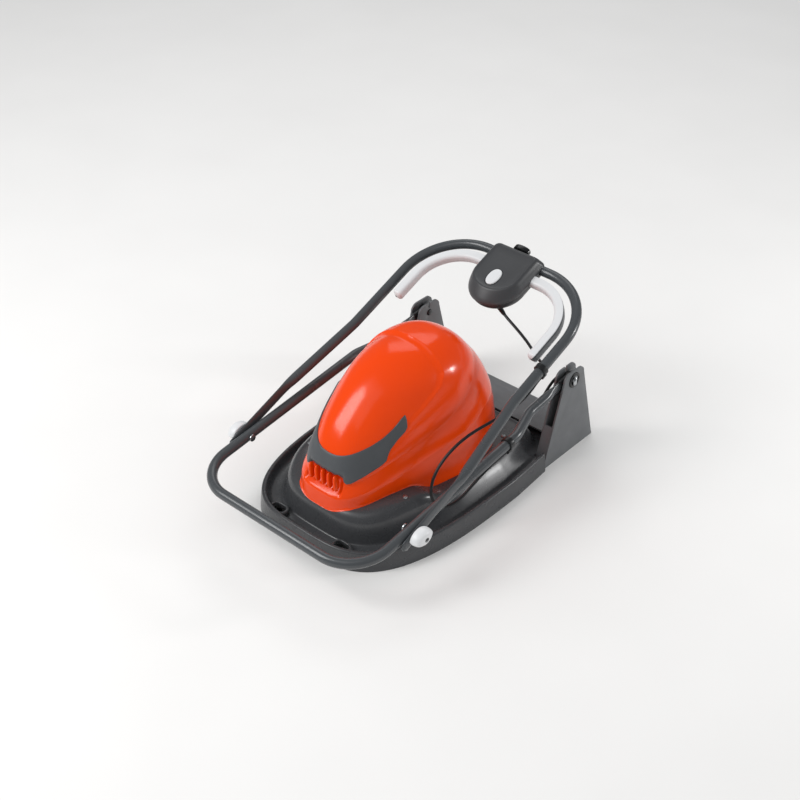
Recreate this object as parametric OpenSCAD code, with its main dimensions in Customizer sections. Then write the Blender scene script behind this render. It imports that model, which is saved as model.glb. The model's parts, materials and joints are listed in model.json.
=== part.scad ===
// Electric hover mower, folded for storage: a moulded deck with its motor hood, and a
// two-part tubular handle that lies forward over the deck with its loop back over the hood.
// X runs across the machine, the front is -Y, Z is up and the ground is z = 0.

/* [Deck] */
// Half of the deck's greatest width
deck_half_w = 231; // [215:1:250]
// From the widest station to the front edge
deck_front = 420; // [400:1:440]
// From the widest station to the rear edge
deck_rear = 260; // [240:1:275]
// How far the widest station lies ahead of the handle pivot
deck_mid_dist = 200; // [185:1:215]
// Height of the rim above the ground
rim_h = 45; // [40:1:50]
// Wall of the deck moulding
deck_wall = 4; // [3:0.5:5]
// Height of the floor of the trough
trough_h = 26; // [22:1:30]
// Height of the dome beside the hood
dome_h = 72; // [66:1:76]
// Extra height of the dome beside the front of the hood
dome_rise = 28; // [20:1:32]
// How far in from the deck's edge the dome stands
dome_in = 46; // [42:1:50]

/* [Hood] */
// From the spindle to the front of the hood
hood_front = 293; // [270:1:300]
// From the spindle to the rear of the hood
hood_rear = 200; // [180:1:205]
// Half of the hood's greatest width
hood_half_w = 150; // [135:1:155]
// How far the spindle lies ahead of the deck's widest station
spindle_dist = 70; // [62:1:78]
// Height of the hood's crown above the ground
hood_top = 347; // [320:1:360]
// Wall of the hood moulding
hood_wall = 3; // [2:0.5:4]
// Thickness of the trim band
trim_t = 3; // [2:0.5:4]

/* [Brackets] */
// Width of one bracket over its two cheeks
bracket_w = 26; // [24:0.5:30]
// Thickness of a bracket's cheek
bracket_wall = 4; // [3:0.5:5]
// Reach of the bracket's foot ahead of the pivot
bracket_front = 92; // [84:1:100]
// Reach of the bracket's foot behind the pivot
bracket_rear = 88; // [80:1:96]
// Height of the handle pivot above the ground
pivot_h = 191; // [180:1:205]
// Diameter of the pivot bolt
pivot_d = 10; // [8:0.5:12]

/* [Handle] */
// Outside diameter of the handle tube
tube_d = 22; // [20:0.5:24]
// Length of the lower handle from its pivot to its cross bar
low_len = 697; // [690:1:720]
// Half of the spacing of the lower handle's legs
low_half_w = 226; // [216:1:236]
// How far the legs joggle out ahead of the brackets
joggle = 22; // [18:1:28]
// Bend radius at the lower handle's corners
low_bend = 88; // [70:1:100]
// Slope of the lower handle when folded, in degrees
low_tilt = 7; // [5:0.5:9]
// Distance of the clamp knobs from the pivot
knob_reach = 544; // [530:1:550]
// Length of the upper handle from the clamp knobs to its loop
up_len = 660; // [650:1:680]
// Reach of the upper handle's legs beyond the clamp knobs
up_tail = 43; // [30:1:48]
// Slope of the upper handle when folded, in degrees
up_tilt = 21.5; // [20:0.5:24]
// How much narrower the loop is than the lower handle, on each side
loop_in = 6; // [0:1:10]
// Bend radius of the loop's corners
loop_bend = 138; // [128:1:144]
// Diameter of the clamp bolts
clamp_d = 8; // [6:0.5:9]
// Length of a clamp knob
knob_l = 52; // [44:1:58]
// Width of a clamp knob
knob_w = 34; // [28:1:40]
// Thickness of a clamp knob
knob_t = 24; // [18:1:28]

/* [Switch box] */
// Half of the switch box's width
box_half_w = 66; // [62:1:70]
// Reach of the switch box ahead of the loop bar
box_front = 141; // [136:1:150]
// Reach of the switch box behind the loop bar
box_rear = 14; // [13:1:18]
// Height of the switch box above the loop bar's centre
box_up = 32; // [29:0.5:35]
// Depth of the switch box below the loop bar's centre
box_down = 21; // [20:0.5:26]
// Wall of the switch box
box_wall = 3; // [2:0.5:4]
// Width of a switch lever in the plane of the loop
lever_w = 18; // [14:0.5:20]
// Thickness of a switch lever across the loop
lever_t = 20; // [16:0.5:22]
// Distance from the middle of the loop tube to the middle of the lever
lever_gap = 34.5; // [33:0.5:38]
// Straight length of a lever below the loop's corner
lever_tail = 70; // [40:1:72]
// Length of the lock-off button
button_l = 44; // [38:1:48]
// Width of the lock-off button
button_w = 26; // [22:1:30]
// How far the lock-off button can be pressed
button_travel = 3; // [2:0.25:3.5]

/* [Motor and blade] */
// Length of the cutting blade
blade_len = 330; // [300:1:340]
// Width of the cutting blade
blade_w = 46; // [36:1:54]
// Thickness of the cutting blade
blade_t = 3; // [2:0.5:4]
// Height of the blade's underside above the ground
blade_h = 13; // [12:0.5:15]
// Diameter of the impeller
impeller_d = 260; // [220:1:280]
// Outside diameter of the motor
motor_d = 104; // [96:1:110]
// Length of the motor's case
motor_l = 150; // [140:1:165]
// Diameter of the motor shaft
shaft_d = 12; // [10:0.5:14]

/* [Cable] */
// Diameter of the motor lead
lead_d = 6.5; // [5.5:0.5:7]

/* [Hidden] */
$fn = 48;
// Gap between pieces that seat on each other without touching
seat = 0.3;
// Radial clearance of a shaft, pin or bolt in its hole
fit = 0.05;
// Overrun of a cut through the face that it opens
over = 1;
// Cut across a corner at the middle of a quarter round
round_share = 0.3;

// Frame: everything is placed from the handle pivot, whose place puts the origin midway
// between the lower handle's cross bar and the mains inlet
tube_r = tube_d / 2;
tube_n = 24;
tube_wall = 1.5;
core_n = 16;
bend_step = 9;
knob_y = -knob_reach * cos(low_tilt);
knob_z = pivot_h - knob_reach * sin(low_tilt);
loop_half_w = low_half_w - loop_in;
lug_x = low_half_w - joggle;
inlet_r = 9;
inlet_w = 40;
inlet_lift = 18;
inlet_back = 9;
inlet_wall = 3;
inlet_depth = 6;
inlet_start = up_len + tube_r;
inlet_end = up_len + box_rear + inlet_back;
front_reach = low_len * cos(low_tilt) + tube_r;
rear_reach = max(bracket_rear,
    knob_y + inlet_end * cos(up_tilt) - (inlet_lift - inlet_r) * sin(up_tilt));
pivot_y = (front_reach - rear_reach) / 2;

// Deck profile: insets and heights of its rings, and the plan's exponents
ring_n = 96;
deck_nose = 3;
deck_side = 3.5;
deck_tail = 14;
deck_taper_share = 0.08;
skirt_lean = 4;
lip_round = 4;
lip_w = 5;
floor_round = 5;
trough_in = 24;
dome_lean = 8;
dome_round = 20;
dome_rear_in = 59;
rise_ahead = 82;
rise_len = 70;
fall_ahead = 190;
fall_len = 95;
fall_share = 0.36;
deck_end = deck_rear - deck_mid_dist;
spindle_y = -deck_mid_dist - spindle_dist;
lip_in = skirt_lean + lip_round + lip_w;
dome_top_in = dome_in + dome_lean + dome_round;

// Hood rings from base to crown: shares of height, front, rear and half width, then the
// exponents of nose and side, then the share by which the nose narrows
hood_ring_shares = [
    [0.00, 1.00, 1.00, 1.00, 10.0, 4.0, 0.48],
    [0.28, 0.94, 0.95, 0.95, 8.0, 3.2, 0.45],
    [0.43, 0.88, 0.89, 0.91, 5.0, 2.8, 0.40],
    [0.58, 0.79, 0.80, 0.85, 3.6, 2.6, 0.34],
    [0.72, 0.67, 0.69, 0.76, 2.9, 2.4, 0.26],
    [0.83, 0.55, 0.57, 0.65, 2.5, 2.2, 0.18],
    [0.92, 0.40, 0.43, 0.49, 2.2, 2.1, 0.10],
    [0.98, 0.25, 0.27, 0.31, 2.0, 2.0, 0.05],
    [1.00, 0.08, 0.09, 0.11, 2.0, 2.0, 0.00]];
hood_tail = 2.2;
hood_curl = 1.2;
hood_last = len(hood_ring_shares) - 1;

// Trim band: how many ring steps it reaches round each side, and its edges as shares of
// the hood's height at the middle and at the tips
trim_steps = 17;
trim_rows = 4;
trim_low_share = 0.275;
trim_high_share = 0.415;
trim_tip_low_share = 0.56;
trim_tip_high_share = 0.60;
trim_off = 0.8;
vent_n = 5;
vent_pitch = 17;
vent_w = 8;
vent_l = 34;
vent_h = 128;
vent_lean = 22;

// Front wells, screws and bosses of the deck
well_x = 89;
well_in = 30;
well_y = well_in - deck_mid_dist - deck_front;
well_h = 38;
well_l = 14;
well_r = 9;
well_wall = 3;
screw_r = 2;
screw_l = 14;
head_r = 5;
head_h = 3;
cross_w = 1.4;
boss_wall = 3;
deck_screw_x = 134;
deck_screw_aheads = [180, -140];
deck_screw_ys = [for (a = deck_screw_aheads) spindle_y - a];
panel_t = 4;
panel_l = 94;
panel_front = deck_end - panel_l;
panel_h = rim_h + seat;
panel_edge = deck_end - seat;
panel_screw_in = 12;
panel_screw_x = min(lug_x - bracket_w / 2, deck_half_w * (1 - deck_taper_share)) - panel_screw_in;
panel_screw_backs = [54, 20];
panel_screw_ys = [for (b = panel_screw_backs) deck_end - b];

// Brackets and the pivot
bracket_half_w = lug_x + bracket_w / 2;
bracket_in = bracket_half_w - bracket_w;
cheek_gap = bracket_w - 2 * bracket_wall;
lug_t = cheek_gap / 2 + fit;
lug_r = 13;
lug_l = 50;
crown_r = 18;
crown_half = 17;
crown_up = 6;
crown_h = pivot_h + crown_up;
web_h = 96;
web_lean = 28;
pivot_head_r = 14;
pivot_head_h = 6;
slot_w = 6;
slot_l = 14;
slot_up = 11;

// Lower handle: a joggle widens the legs ahead of the brackets
joggle_turn = 17;
joggle_bend = 60;
joggle_start = 130;
joggle_run = (joggle - 2 * joggle_bend * (1 - cos(joggle_turn))) / sin(joggle_turn);
joggle_l = joggle_run * cos(joggle_turn) + 2 * joggle_bend * sin(joggle_turn);

// Upper handle: its legs end in flats that lie outside the lower handle's tube
leg_flat_t = 8;
leg_flat_h = 26;
leg_flat_l = 128;
up_half_w = low_half_w + tube_r + seat + leg_flat_t / 2;
ease_turn = 6;
ease_bend = 60;
ease_start = 140;
ease = up_half_w - loop_half_w;
ease_run = (ease - 2 * ease_bend * (1 - cos(ease_turn))) / sin(ease_turn);
ease_l = ease_run * cos(ease_turn) + 2 * ease_bend * sin(ease_turn);
bolt_head_r = 8;
bolt_head_h = 4;
knob_x = up_half_w + leg_flat_t / 2 + seat;
knob_bore = 16;
knob_crown = 6;

// Switch box and what it holds, in the plane of the upper handle
box_front_y = up_len - box_front;
box_rear_y = up_len + box_rear;
box_nose = 70;
box_step = 16;
box_draft = 9;
box_corner_n = 16;
cavity_back = up_len - tube_r - box_wall;
lever_r = loop_bend - lever_gap;
lever_x = loop_half_w - loop_bend;
lever_y = up_len - lever_gap;
lever_pivot_x = 40;
lever_boss_r = lever_w / 2;
lever_pin_r = 3;
lever_wall = 4;
lever_room = 5;
button_back = 82;
button_y = up_len - button_back;
button_proud = 2.5;
button_lip = 3;
button_lip_t = 3;
button_gap = 0.4;
button_lip_top = box_up - box_wall - seat;
switch_l = 28;
switch_w = 16;
switch_t = 12;
switch_back = 6;
spring_wire = 1.2;
button_spring_r = 4.5;
button_spring_turns = 7;
lever_spring_r = 3.5;
lever_spring_turns = 4;
lever_spring_x = 50;
box_screw_x = 36;
box_screw_back = 90;
box_screw_y = up_len - box_screw_back;

// Motor, impeller and blade on the spindle
shaft_r = shaft_d / 2;
plate_r = 56;
plate_t = 6;
plate_h = dome_h + plate_t;
plate_screw_ring = 45;
plate_screw_n = 4;
spindle_hole = 32;
motor_r = motor_d / 2;
motor_wall = 4;
motor_top = plate_h + motor_l;
bearing_r = 14;
bearing_t = 10;
core_t = 12;
core_h = 70;
core_lift = 34;
coil_r = 7;
coil_spread = 26;
armature_r = 26;
armature_l = 60;
armature_lift = 40;
commutator_r = 16;
commutator_l = 20;
commutator_lift = 112;
brush_w = 12;
brush_l = 18;
bolt_r = 4;
bolt_depth = 22;
bolt_flat_r = 9;
bolt_hex_h = 6;
washer_r = 16;
washer_t = 2.5;
spacer_r = 20;
spacer_t = 6;
hub_r = 24;
hub_top_gap = 8;
fan_t = 3;
fan_vane_h = 22;
fan_vane_t = 3;
fan_vane_n = 12;
fan_sweep = 35;
blade_tip_cut = 22;
shaft_low = blade_h + blade_t + spacer_t;
hub_top = dome_h - deck_wall - hub_top_gap;

// Motor lead: clips, gland and the route's points, measured from the handle pivot
lead_r = lead_d / 2;
lead_n = 8;
lead_gap = 0.2;
clip_w = 12;
clip_wall = 3;
clip_back = 82;
clip_up_y = up_len - loop_bend - clip_back;
clip_low_y = 240;
eye_gap = 1.5;
eye_drop = tube_r + clip_wall + lead_r + eye_gap;
gland_r = 8;
gland_tip_r = 5;
gland_h = 22;
gland_in = 19;
gland_back = 81;
gland_at = [bracket_in - gland_in, deck_end - gland_back];
// Along the upper handle, from inside the switch box to just past the upper clip: across as
// a share of the loop's half width, ahead of the loop bar, and above the handle's plane
lead_exit_x = 24;
lead_exit_back = 112;
lead_exit = [lead_exit_x, up_len - lead_exit_back];
clip_reach_share = 0.75;
lead_upper_shares = [[0.14, -114, -31], [0.24, -122, -37], [0.40, -135, -41], [0.57, -152, -40],
    [0.74, -173, -35], [0.89, -192, -27], [0.97, -203, -21]];
lead_upper_points = concat(
    [[lead_exit.x, lead_exit.y, -box_down + box_wall], [lead_exit.x, lead_exit.y, -box_down - box_wall]],
    [for (p = lead_upper_shares) [p.x * loop_half_w, up_len + p.y, p.z]],
    [for (e = [1, 0, -1]) [loop_half_w, clip_up_y + e * clip_reach_share * clip_w, -eye_drop]]);
// Slack between the two clips, hanging inside the legs: across from the lower handle's leg,
// behind the pivot and above the ground
lead_slack = [[-5, -172, 247], [-8, -202, 236], [-16, -236, 226], [-28, -270, 216],
    [-42, -303, 204], [-52, -336, 188], [-58, -368, 166], [-59, -394, 140], [-56, -410, 114],
    [-47, -415, 95], [-35, -408, 86], [-24, -392, 84], [-18, -368, 90], [-14, -342, 102],
    [-9, -312, 118], [-4, -286, 131]];
// Along the lower handle, from just before the lower clip to the pivot
lead_low_run = [[-5, -206, -20], [-15, -170, -20], [-25, -132, -19], [-34, -96, -16],
    [-40, -62, -10], [-43, -40, -4], [-44, -28, 0], [-44, -18, 0], [-44, -8, 0]];
lead_lower_points = concat([for (e = [1, 0, -1]) [low_half_w, -clip_low_y - e * clip_w, -eye_drop]],
    [for (p = lead_low_run) [low_half_w + p.x, p.y, p.z]]);
// From the pivot down beside the bracket, through the gland
lead_drop = [[-45, 10, 178], [-46, 11, 150], [-48, 6, 122], [-51, -5, 100]];
lead_step = 10;
lead_joint = 0.6;

// Shared helpers
function flat(lists) = [for (l = lists) for (p = l) p];
function smooth(t) = t <= 0 ? 0 : t >= 1 ? 1 : t * t * (3 - 2 * t);
// Share of the dome's extra height: it rises beside the hood and falls away to the nose
function rise_at(y) = let (d = spindle_y - y)
    smooth((d - rise_ahead) / rise_len) - fall_share * smooth((d - fall_ahead) / fall_len);
function unit(v) = v / norm(v);
// Share of the way along a nose for sine s, evenly spaced up to half a right angle, and
// the share of the half width there
function along(s, n) = let (a = asin(abs(s))) a < 45 ? pow(sin(45), 2 / n) * a / 45
    : pow(abs(s), 2 / n);
function aside(u, n, m) = pow(max(0, 1 - pow(u, n)), 1 / m);

module on_base() translate([0, pivot_y, 0]) children();
module on_spindle() translate([0, pivot_y + spindle_y, 0]) children();
module on_lower() translate([0, pivot_y, pivot_h]) rotate([low_tilt, 0, 0]) children();
module on_upper() translate([0, pivot_y + knob_y, knob_z]) rotate([up_tilt, 0, 0]) children();
module both_sides() {
    children();
    mirror([1, 0, 0]) children();
}
// A cylinder along X that starts at the given place
module along_x(l, r) rotate([0, 90, 0]) cylinder(h = l, r = r);
// A cylinder along Y that starts at the given place
module along_y(l, r) rotate([-90, 0, 0]) cylinder(h = l, r = r);
module ring(h, r, bore) difference() {
    cylinder(h = h, r = r);
    translate([0, 0, -over]) cylinder(h = h + 2 * over, r = bore);
}
// A stadium with its long side along Y
module stadium(h, l, r) {
    translate([-r, -l / 2, 0]) cube([2 * r, l, h]);
    for (s = [-1, 1]) translate([0, s * l / 2, 0]) cylinder(h = h, r = r);
}
// A screw that points down, with its head's seat at z = 0 and a cross recess
module screw(l, r, head, head_t) difference() {
    union() {
        translate([0, 0, -l]) cylinder(h = l, r = r);
        cylinder(h = head_t, r = head);
    }
    for (a = [0, 90]) rotate([0, 0, a])
        translate([-head / 2, -cross_w / 2, head_t / 2]) cube([head, cross_w, head_t]);
}

// A wall of stacked rings of points, from the inner crown down, round the foot and up to
// the outer crown; each crown is closed by strips from side to side
module ring_shell(rings) {
    n = len(rings[0]);
    last = len(rings) - 1;
    q = n / 4;
    sides = [for (k = [0 : last - 1]) for (i = [0 : n - 1])
        let (j = (i + 1) % n, a = k * n, b = (k + 1) * n)
        for (f = [[a + i, b + i, b + j], [a + i, b + j, a + j]]) f];
    strips = flat([for (i = [-q : q - 1])
        let (r0 = (i + n) % n, r1 = (i + 1 + n) % n, l0 = (n / 2 - i) % n, l1 = (n / 2 - i - 1) % n)
        [if (r0 != l0) [r0, l0, l1], if (r1 != l1) [r0, l1, r1]]]);
    top = [for (f = strips) [for (v = f) v + last * n]];
    bottom = [for (f = strips) [f[2], f[1], f[0]]];
    polyhedron(flat(rings), concat(sides, top, bottom), convexity = 6);
}
// A closed bar through a list of sections with equally many points
module sweep(sections) {
    n = len(sections[0]);
    last = len(sections) - 1;
    sides = [for (k = [0 : last - 1]) for (i = [0 : n - 1])
        let (j = (i + 1) % n, a = k * n, b = (k + 1) * n)
        for (f = [[a + i, b + i, b + j], [a + i, b + j, a + j]]) f];
    caps = [for (i = [1 : n - 2]) for (f = [[0, i, i + 1],
        [last * n, last * n + i + 1, last * n + i]]) f];
    polyhedron(flat(sections), concat(sides, caps), convexity = 8);
}
// Round sections of radius r along a list of points
function tangents(p) = [for (i = [0 : len(p) - 1])
    unit(p[min(i + 1, len(p) - 1)] - p[max(i - 1, 0)])];
function across(t, v) = unit(v - (v * t) * t);
function normals(t) = [for (i = 0, v = across(t[0], [0.3, 0.2, 1]); i < len(t);
    i = i + 1, v = i < len(t) ? across(t[i], v) : v) v];
function tube_sections(p, r, n) = let (t = tangents(p), v = normals(t))
    [for (i = [0 : len(p) - 1]) let (b = cross(t[i], v[i]))
        [for (a = [0 : n - 1]) p[i] + r * (cos(360 * a / n) * v[i] + sin(360 * a / n) * b)]];
// A curve through the points, with steps places on each span
function curve(p, steps) = concat([for (i = [0 : len(p) - 2]) for (k = [0 : steps - 1])
    let (t = k / steps, a = p[max(i - 1, 0)], b = p[i], c = p[i + 1], d = p[min(i + 2, len(p) - 1)])
    (2 * b + (c - a) * t + (2 * a - 5 * b + 4 * c - d) * t * t
        + (3 * b - a - 3 * c + d) * t * t * t) / 2], [p[len(p) - 1]]);
// Places along straight runs from -Y, each with the bend that follows it: [length, turn,
// radius]; a positive turn is towards -X. Bends have a place at each few degrees.
function run_points(steps, p, k = 0, h = 0) = k == len(steps) ? [[p.x, p.y, 0]] :
    let (turn = steps[k][1], r = steps[k][2] * sign(turn), q = p - steps[k][0] * [sin(h), cos(h)],
        c = q + r * [-cos(h), sin(h)], m = ceil(abs(turn) / bend_step),
        e = turn == 0 ? q : c + r * [cos(h + turn), -sin(h + turn)])
    concat([[p.x, p.y, 0]],
        [for (j = [0 : m - 1]) let (a = h + turn * j / m) [c.x + r * cos(a), c.y - r * sin(a), 0]],
        run_points(steps, e, k + 1, h + turn));
// One half of a path, then its mirror image back to the other side
function there_and_back(half) = concat(half,
    [for (i = [len(half) - 2 : -1 : 0]) [-half[i].x, half[i].y, half[i].z]]);
// A spring of round wire along Z, with its ends at z = 0 and z = h
module spring(h, r, turns) {
    rise = h - spring_wire;
    sweep(tube_sections([for (k = [0 : 8 * turns])
        [r * cos(45 * k), r * sin(45 * k), spring_wire / 2 + rise * k / (8 * turns)]],
        spring_wire / 2, 6));
}
// The same runs and bends with the child as section, which has its X across the run
module run(steps, k = 0) if (k < len(steps)) {
    l = steps[k][0];
    turn = steps[k][1];
    r = steps[k][2];
    way = sign(turn);
    rotate([90, 0, 0]) linear_extrude(l) children();
    translate([0, -l, 0]) {
        if (turn > 0) translate([-r, 0, 0]) rotate([0, 0, -turn])
            rotate_extrude(angle = turn) translate([r, 0]) children();
        if (turn < 0) translate([r, 0, 0]) rotate([0, 0, 180])
            rotate_extrude(angle = -turn) translate([r, 0]) mirror([1, 0]) children();
        translate([way * r * (cos(turn) - 1), -r * abs(sin(turn)), 0]) rotate([0, 0, -turn])
            run(steps, k + 1) children();
    }
}

// Deck
function deck_ring(inset, back, h, rise) = [for (i = [0 : ring_n - 1])
    let (t = 360 * i / ring_n, s = sin(t), c = cos(t), ahead = s < 0,
        u = ahead ? along(s, deck_nose) : pow(s, 2 / deck_tail),
        w = ahead ? aside(u, deck_nose, deck_side) : pow(abs(c), 2 / deck_tail),
        y = (ahead ? -(deck_front - inset) * u : (deck_rear - inset - back) * u) - deck_mid_dist,
        x = sign(c) * (deck_half_w - inset) * w * (ahead ? 1 : 1 - deck_taper_share * u))
    [x, y, h + rise * rise_at(y)]];
dome_rings = [deck_ring(dome_in, dome_rear_in, trough_h + floor_round, 0),
    deck_ring(dome_in + dome_lean, dome_rear_in, dome_h - dome_round, dome_rise),
    deck_ring(dome_in + dome_lean + round_share * dome_round, dome_rear_in,
        dome_h - round_share * dome_round, dome_rise),
    deck_ring(dome_top_in, dome_rear_in, dome_h, dome_rise)];
deck_rings = concat(
    [deck_ring(dome_top_in + deck_wall, dome_rear_in, dome_h - deck_wall, dome_rise),
    deck_ring(dome_in + dome_lean + deck_wall + round_share * dome_round, dome_rear_in,
        dome_h - deck_wall - round_share * dome_round, dome_rise),
    deck_ring(dome_in + dome_lean + deck_wall, dome_rear_in, dome_h - deck_wall - dome_round,
        dome_rise),
    deck_ring(dome_in + deck_wall, dome_rear_in, trough_h - deck_wall, 0),
    deck_ring(skirt_lean + deck_wall, 0, trough_h - deck_wall, 0),
    deck_ring(deck_wall, 0, 0, 0),
    deck_ring(0, 0, 0, 0),
    deck_ring(skirt_lean, 0, rim_h - lip_round, 0),
    deck_ring(skirt_lean + round_share * lip_round, 0, rim_h - round_share * lip_round, 0),
    deck_ring(skirt_lean + lip_round, 0, rim_h, 0),
    deck_ring(lip_in, 0, rim_h, 0),
    deck_ring((lip_in + trough_in) / 2, 0, (rim_h + trough_h) / 2, 0),
    deck_ring(trough_in, 0, trough_h, 0),
    deck_ring(dome_in - floor_round, dome_rear_in, trough_h, 0)], dome_rings);
module well(h, l, r) translate([well_x, well_y, trough_h - deck_wall])
    rotate([0, 0, 90]) stadium(h, l, r);
module bracket_notch() translate([bracket_in - seat, -bracket_front - seat, -over])
    cube([deck_half_w, deck_half_w, deck_half_w]);
module deck() color("#2a2b2e") on_base() difference() {
    union() {
        ring_shell(deck_rings);
        both_sides() well(well_h - trough_h + deck_wall, well_l, well_r + well_wall);
        both_sides() for (y = panel_screw_ys) translate([panel_screw_x, y, trough_h - deck_wall])
            cylinder(h = panel_h - trough_h + deck_wall, r = screw_r + boss_wall);
    }
    both_sides() bracket_notch();
    both_sides() translate([0, 0, deck_wall]) well(well_h, well_l, well_r);
    both_sides() for (y = panel_screw_ys)
        translate([panel_screw_x, y, panel_h + panel_t - screw_l - seat])
            cylinder(h = screw_l, r = screw_r + fit);
    both_sides() for (y = deck_screw_ys) translate([deck_screw_x, y, 0])
        cylinder(h = hood_top, r = screw_r + fit);
    translate([0, spindle_y, 0]) {
        cylinder(h = dome_h + over, r = spindle_hole);
        for (a = [0 : plate_screw_n - 1]) rotate([0, 0, 360 * (a + 1 / 2) / plate_screw_n])
            translate([plate_screw_ring, 0, 0]) cylinder(h = dome_h + over, r = screw_r + fit);
    }
}
module rear_panel() color("#6a6b6c") on_base() difference() {
    translate([-bracket_in + seat, panel_front, panel_h])
        cube([2 * (bracket_in - seat), panel_edge - panel_front, panel_t]);
    both_sides() for (y = panel_screw_ys) translate([panel_screw_x, y, panel_h - over])
        cylinder(h = panel_t + 2 * over, r = screw_r + fit);
    translate([gland_at.x, gland_at.y, panel_h - over])
        cylinder(h = panel_t + 2 * over, r = lead_r + lead_gap);
}
module deck_screws() color("#c8cacc") on_base() both_sides() for (y = deck_screw_ys)
    translate([deck_screw_x, y, dome_h + dome_rise * rise_at(y) + seat])
        screw(screw_l, screw_r, head_r, head_h);
module panel_screws() color("#c8cacc") on_base() both_sides() for (y = panel_screw_ys)
    translate([panel_screw_x, y, panel_h + panel_t]) screw(screw_l, screw_r, head_r, head_h);

// Brackets: two cheeks with a web and a foot between them
module cheek(t) rotate([90, 0, 90]) linear_extrude(t) {
    polygon([[-bracket_front, 0], [-crown_half - crown_r, crown_h],
        [crown_half + crown_r, crown_h], [bracket_rear, 0]]);
    for (s = [-1, 1]) translate([s * crown_half, crown_h]) circle(crown_r);
    translate([-crown_half, crown_h]) square([2 * crown_half, crown_r]);
}
module bracket() difference() {
    union() {
        translate([bracket_in, 0, 0]) cheek(bracket_wall);
        translate([bracket_half_w - bracket_wall, 0, 0]) cheek(bracket_wall);
        translate([bracket_in, -bracket_front, 0])
            cube([bracket_w, bracket_front + bracket_rear, bracket_wall]);
        translate([bracket_in, 0, 0]) rotate([90, 0, 90]) linear_extrude(bracket_w) {
            polygon([[-bracket_front, 0], [-bracket_front + web_lean, web_h],
                [-bracket_front + web_lean + bracket_wall, web_h], [-bracket_front + bracket_wall, 0]]);
            polygon([[bracket_rear, 0], [bracket_rear - web_lean, web_h],
                [bracket_rear - web_lean - bracket_wall, web_h], [bracket_rear - bracket_wall, 0]]);
        }
    }
    translate([bracket_in - over, 0, pivot_h]) along_x(bracket_w + 2 * over, pivot_d / 2 + fit);
    translate([bracket_in - over, -slot_w / 2, pivot_h + slot_up])
        cube([bracket_wall + 2 * over, slot_w, slot_l]);
}
module right_bracket() color("#6a6b6c") on_base() bracket();
module left_bracket() color("#6a6b6c") on_base() mirror([1, 0, 0]) bracket();
module pivot_bolts() color("#b9bbbd") on_base() both_sides()
    translate([bracket_half_w, 0, pivot_h]) rotate([0, 90, 0])
        screw(bracket_w, pivot_d / 2, pivot_head_r, pivot_head_h);
module pivot_washers() color("#303234") on_lower() both_sides()
    for (s = [-1, 1]) translate([lug_x + s * (lug_t + cheek_gap) / 4, 0, 0]) rotate([0, 90, 0])
        translate([0, 0, -(cheek_gap - lug_t) / 4 + seat / 2])
            ring((cheek_gap - lug_t) / 2 - seat, lug_r, pivot_d / 2 + 2 * fit);

// Hood
function hood_z(k) = dome_h + seat + (hood_top - dome_h - seat) * hood_ring_shares[k][0];
function hood_point(k, i, off) = let (g = hood_ring_shares[k],
    t = 360 * i / ring_n, s = sin(t), c = cos(t), ahead = s < 0,
    u = ahead ? along(s, g[4]) : pow(s, 2 / hood_tail),
    w = ahead ? aside(u, g[4], g[5]) : pow(abs(c), 2 / hood_tail),
    y = (ahead ? -(hood_front * g[1] - off) * u : (hood_rear * g[2] - off) * u) + spindle_y,
    x = sign(c) * (hood_half_w * g[3] - off) * w * (ahead ? 1 - g[6] * pow(u, hood_curl) : 1))
    [x, y, hood_z(k) - off * g[0] - (k == 0 ? dome_round : 0)];
function hood_ring(k, off) = [for (i = [0 : ring_n - 1]) hood_point(k, i, off)];
hood_rings = concat([for (k = [hood_last : -1 : 0]) hood_ring(k, hood_wall)],
    [for (k = [0 : hood_last]) hood_ring(k, 0)]);
module motor_hood() color("#e8501a") on_base() difference() {
    ring_shell(hood_rings);
    translate([0, 0, seat]) ring_shell(dome_rings);
    for (v = [0 : vent_n - 1])
        translate([(v - (vent_n - 1) / 2) * vent_pitch, spindle_y - hood_front, vent_h])
            rotate([0, vent_lean, 0]) translate([-vent_w / 2, 0, -vent_l / 2])
                cube([vent_w, hood_front / 2, vent_l]);
}
// A place on the hood's side at ring step i and height z, moved out by off
function hood_side(i, z, off) = let (k = max([for (j = [0 : hood_last - 1]) if (z >= hood_z(j)) j]),
    a = hood_point(k, i, 0), b = hood_point(k + 1, i, 0), p = a + (b - a) * (z - a.z) / (b.z - a.z),
    r = unit([p.x, p.y - spindle_y, 0])) p + off * r;
function trim_z(step, row) = let (h = hood_top - dome_h, t = abs(step) / trim_steps,
    low = trim_low_share + (trim_tip_low_share - trim_low_share) * pow(t, 1.8),
    high = trim_high_share + (trim_tip_high_share - trim_high_share) * pow(t, 2))
    dome_h + h * (low + (high - low) * row / trim_rows);
module hood_trim() color("#4d4f52") on_base() {
    base = 3 * ring_n / 4;
    sections = [for (step = [-trim_steps : trim_steps]) concat(
        [for (row = [trim_rows : -1 : 0]) hood_side(base + step, trim_z(step, row), trim_off)],
        [for (row = [0 : trim_rows]) hood_side(base + step, trim_z(step, row), trim_off + trim_t)])];
    n = 2 * (trim_rows + 1);
    last = len(sections) - 1;
    sides = [for (k = [0 : last - 1]) for (i = [0 : n - 1])
        let (j = (i + 1) % n, a = k * n, b = (k + 1) * n)
        for (f = [[a + i, b + j, b + i], [a + i, a + j, b + j]]) f];
    ends = [for (i = [0 : trim_rows - 1]) let (o = n - 1 - i, e = last * n)
        for (f = [[i, o, i + 1], [i + 1, o, o - 1], [e + i, e + i + 1, e + o],
            [e + i + 1, e + o - 1, e + o]]) f];
    polyhedron(flat(sections), concat(sides, ends), convexity = 6);
}

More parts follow.
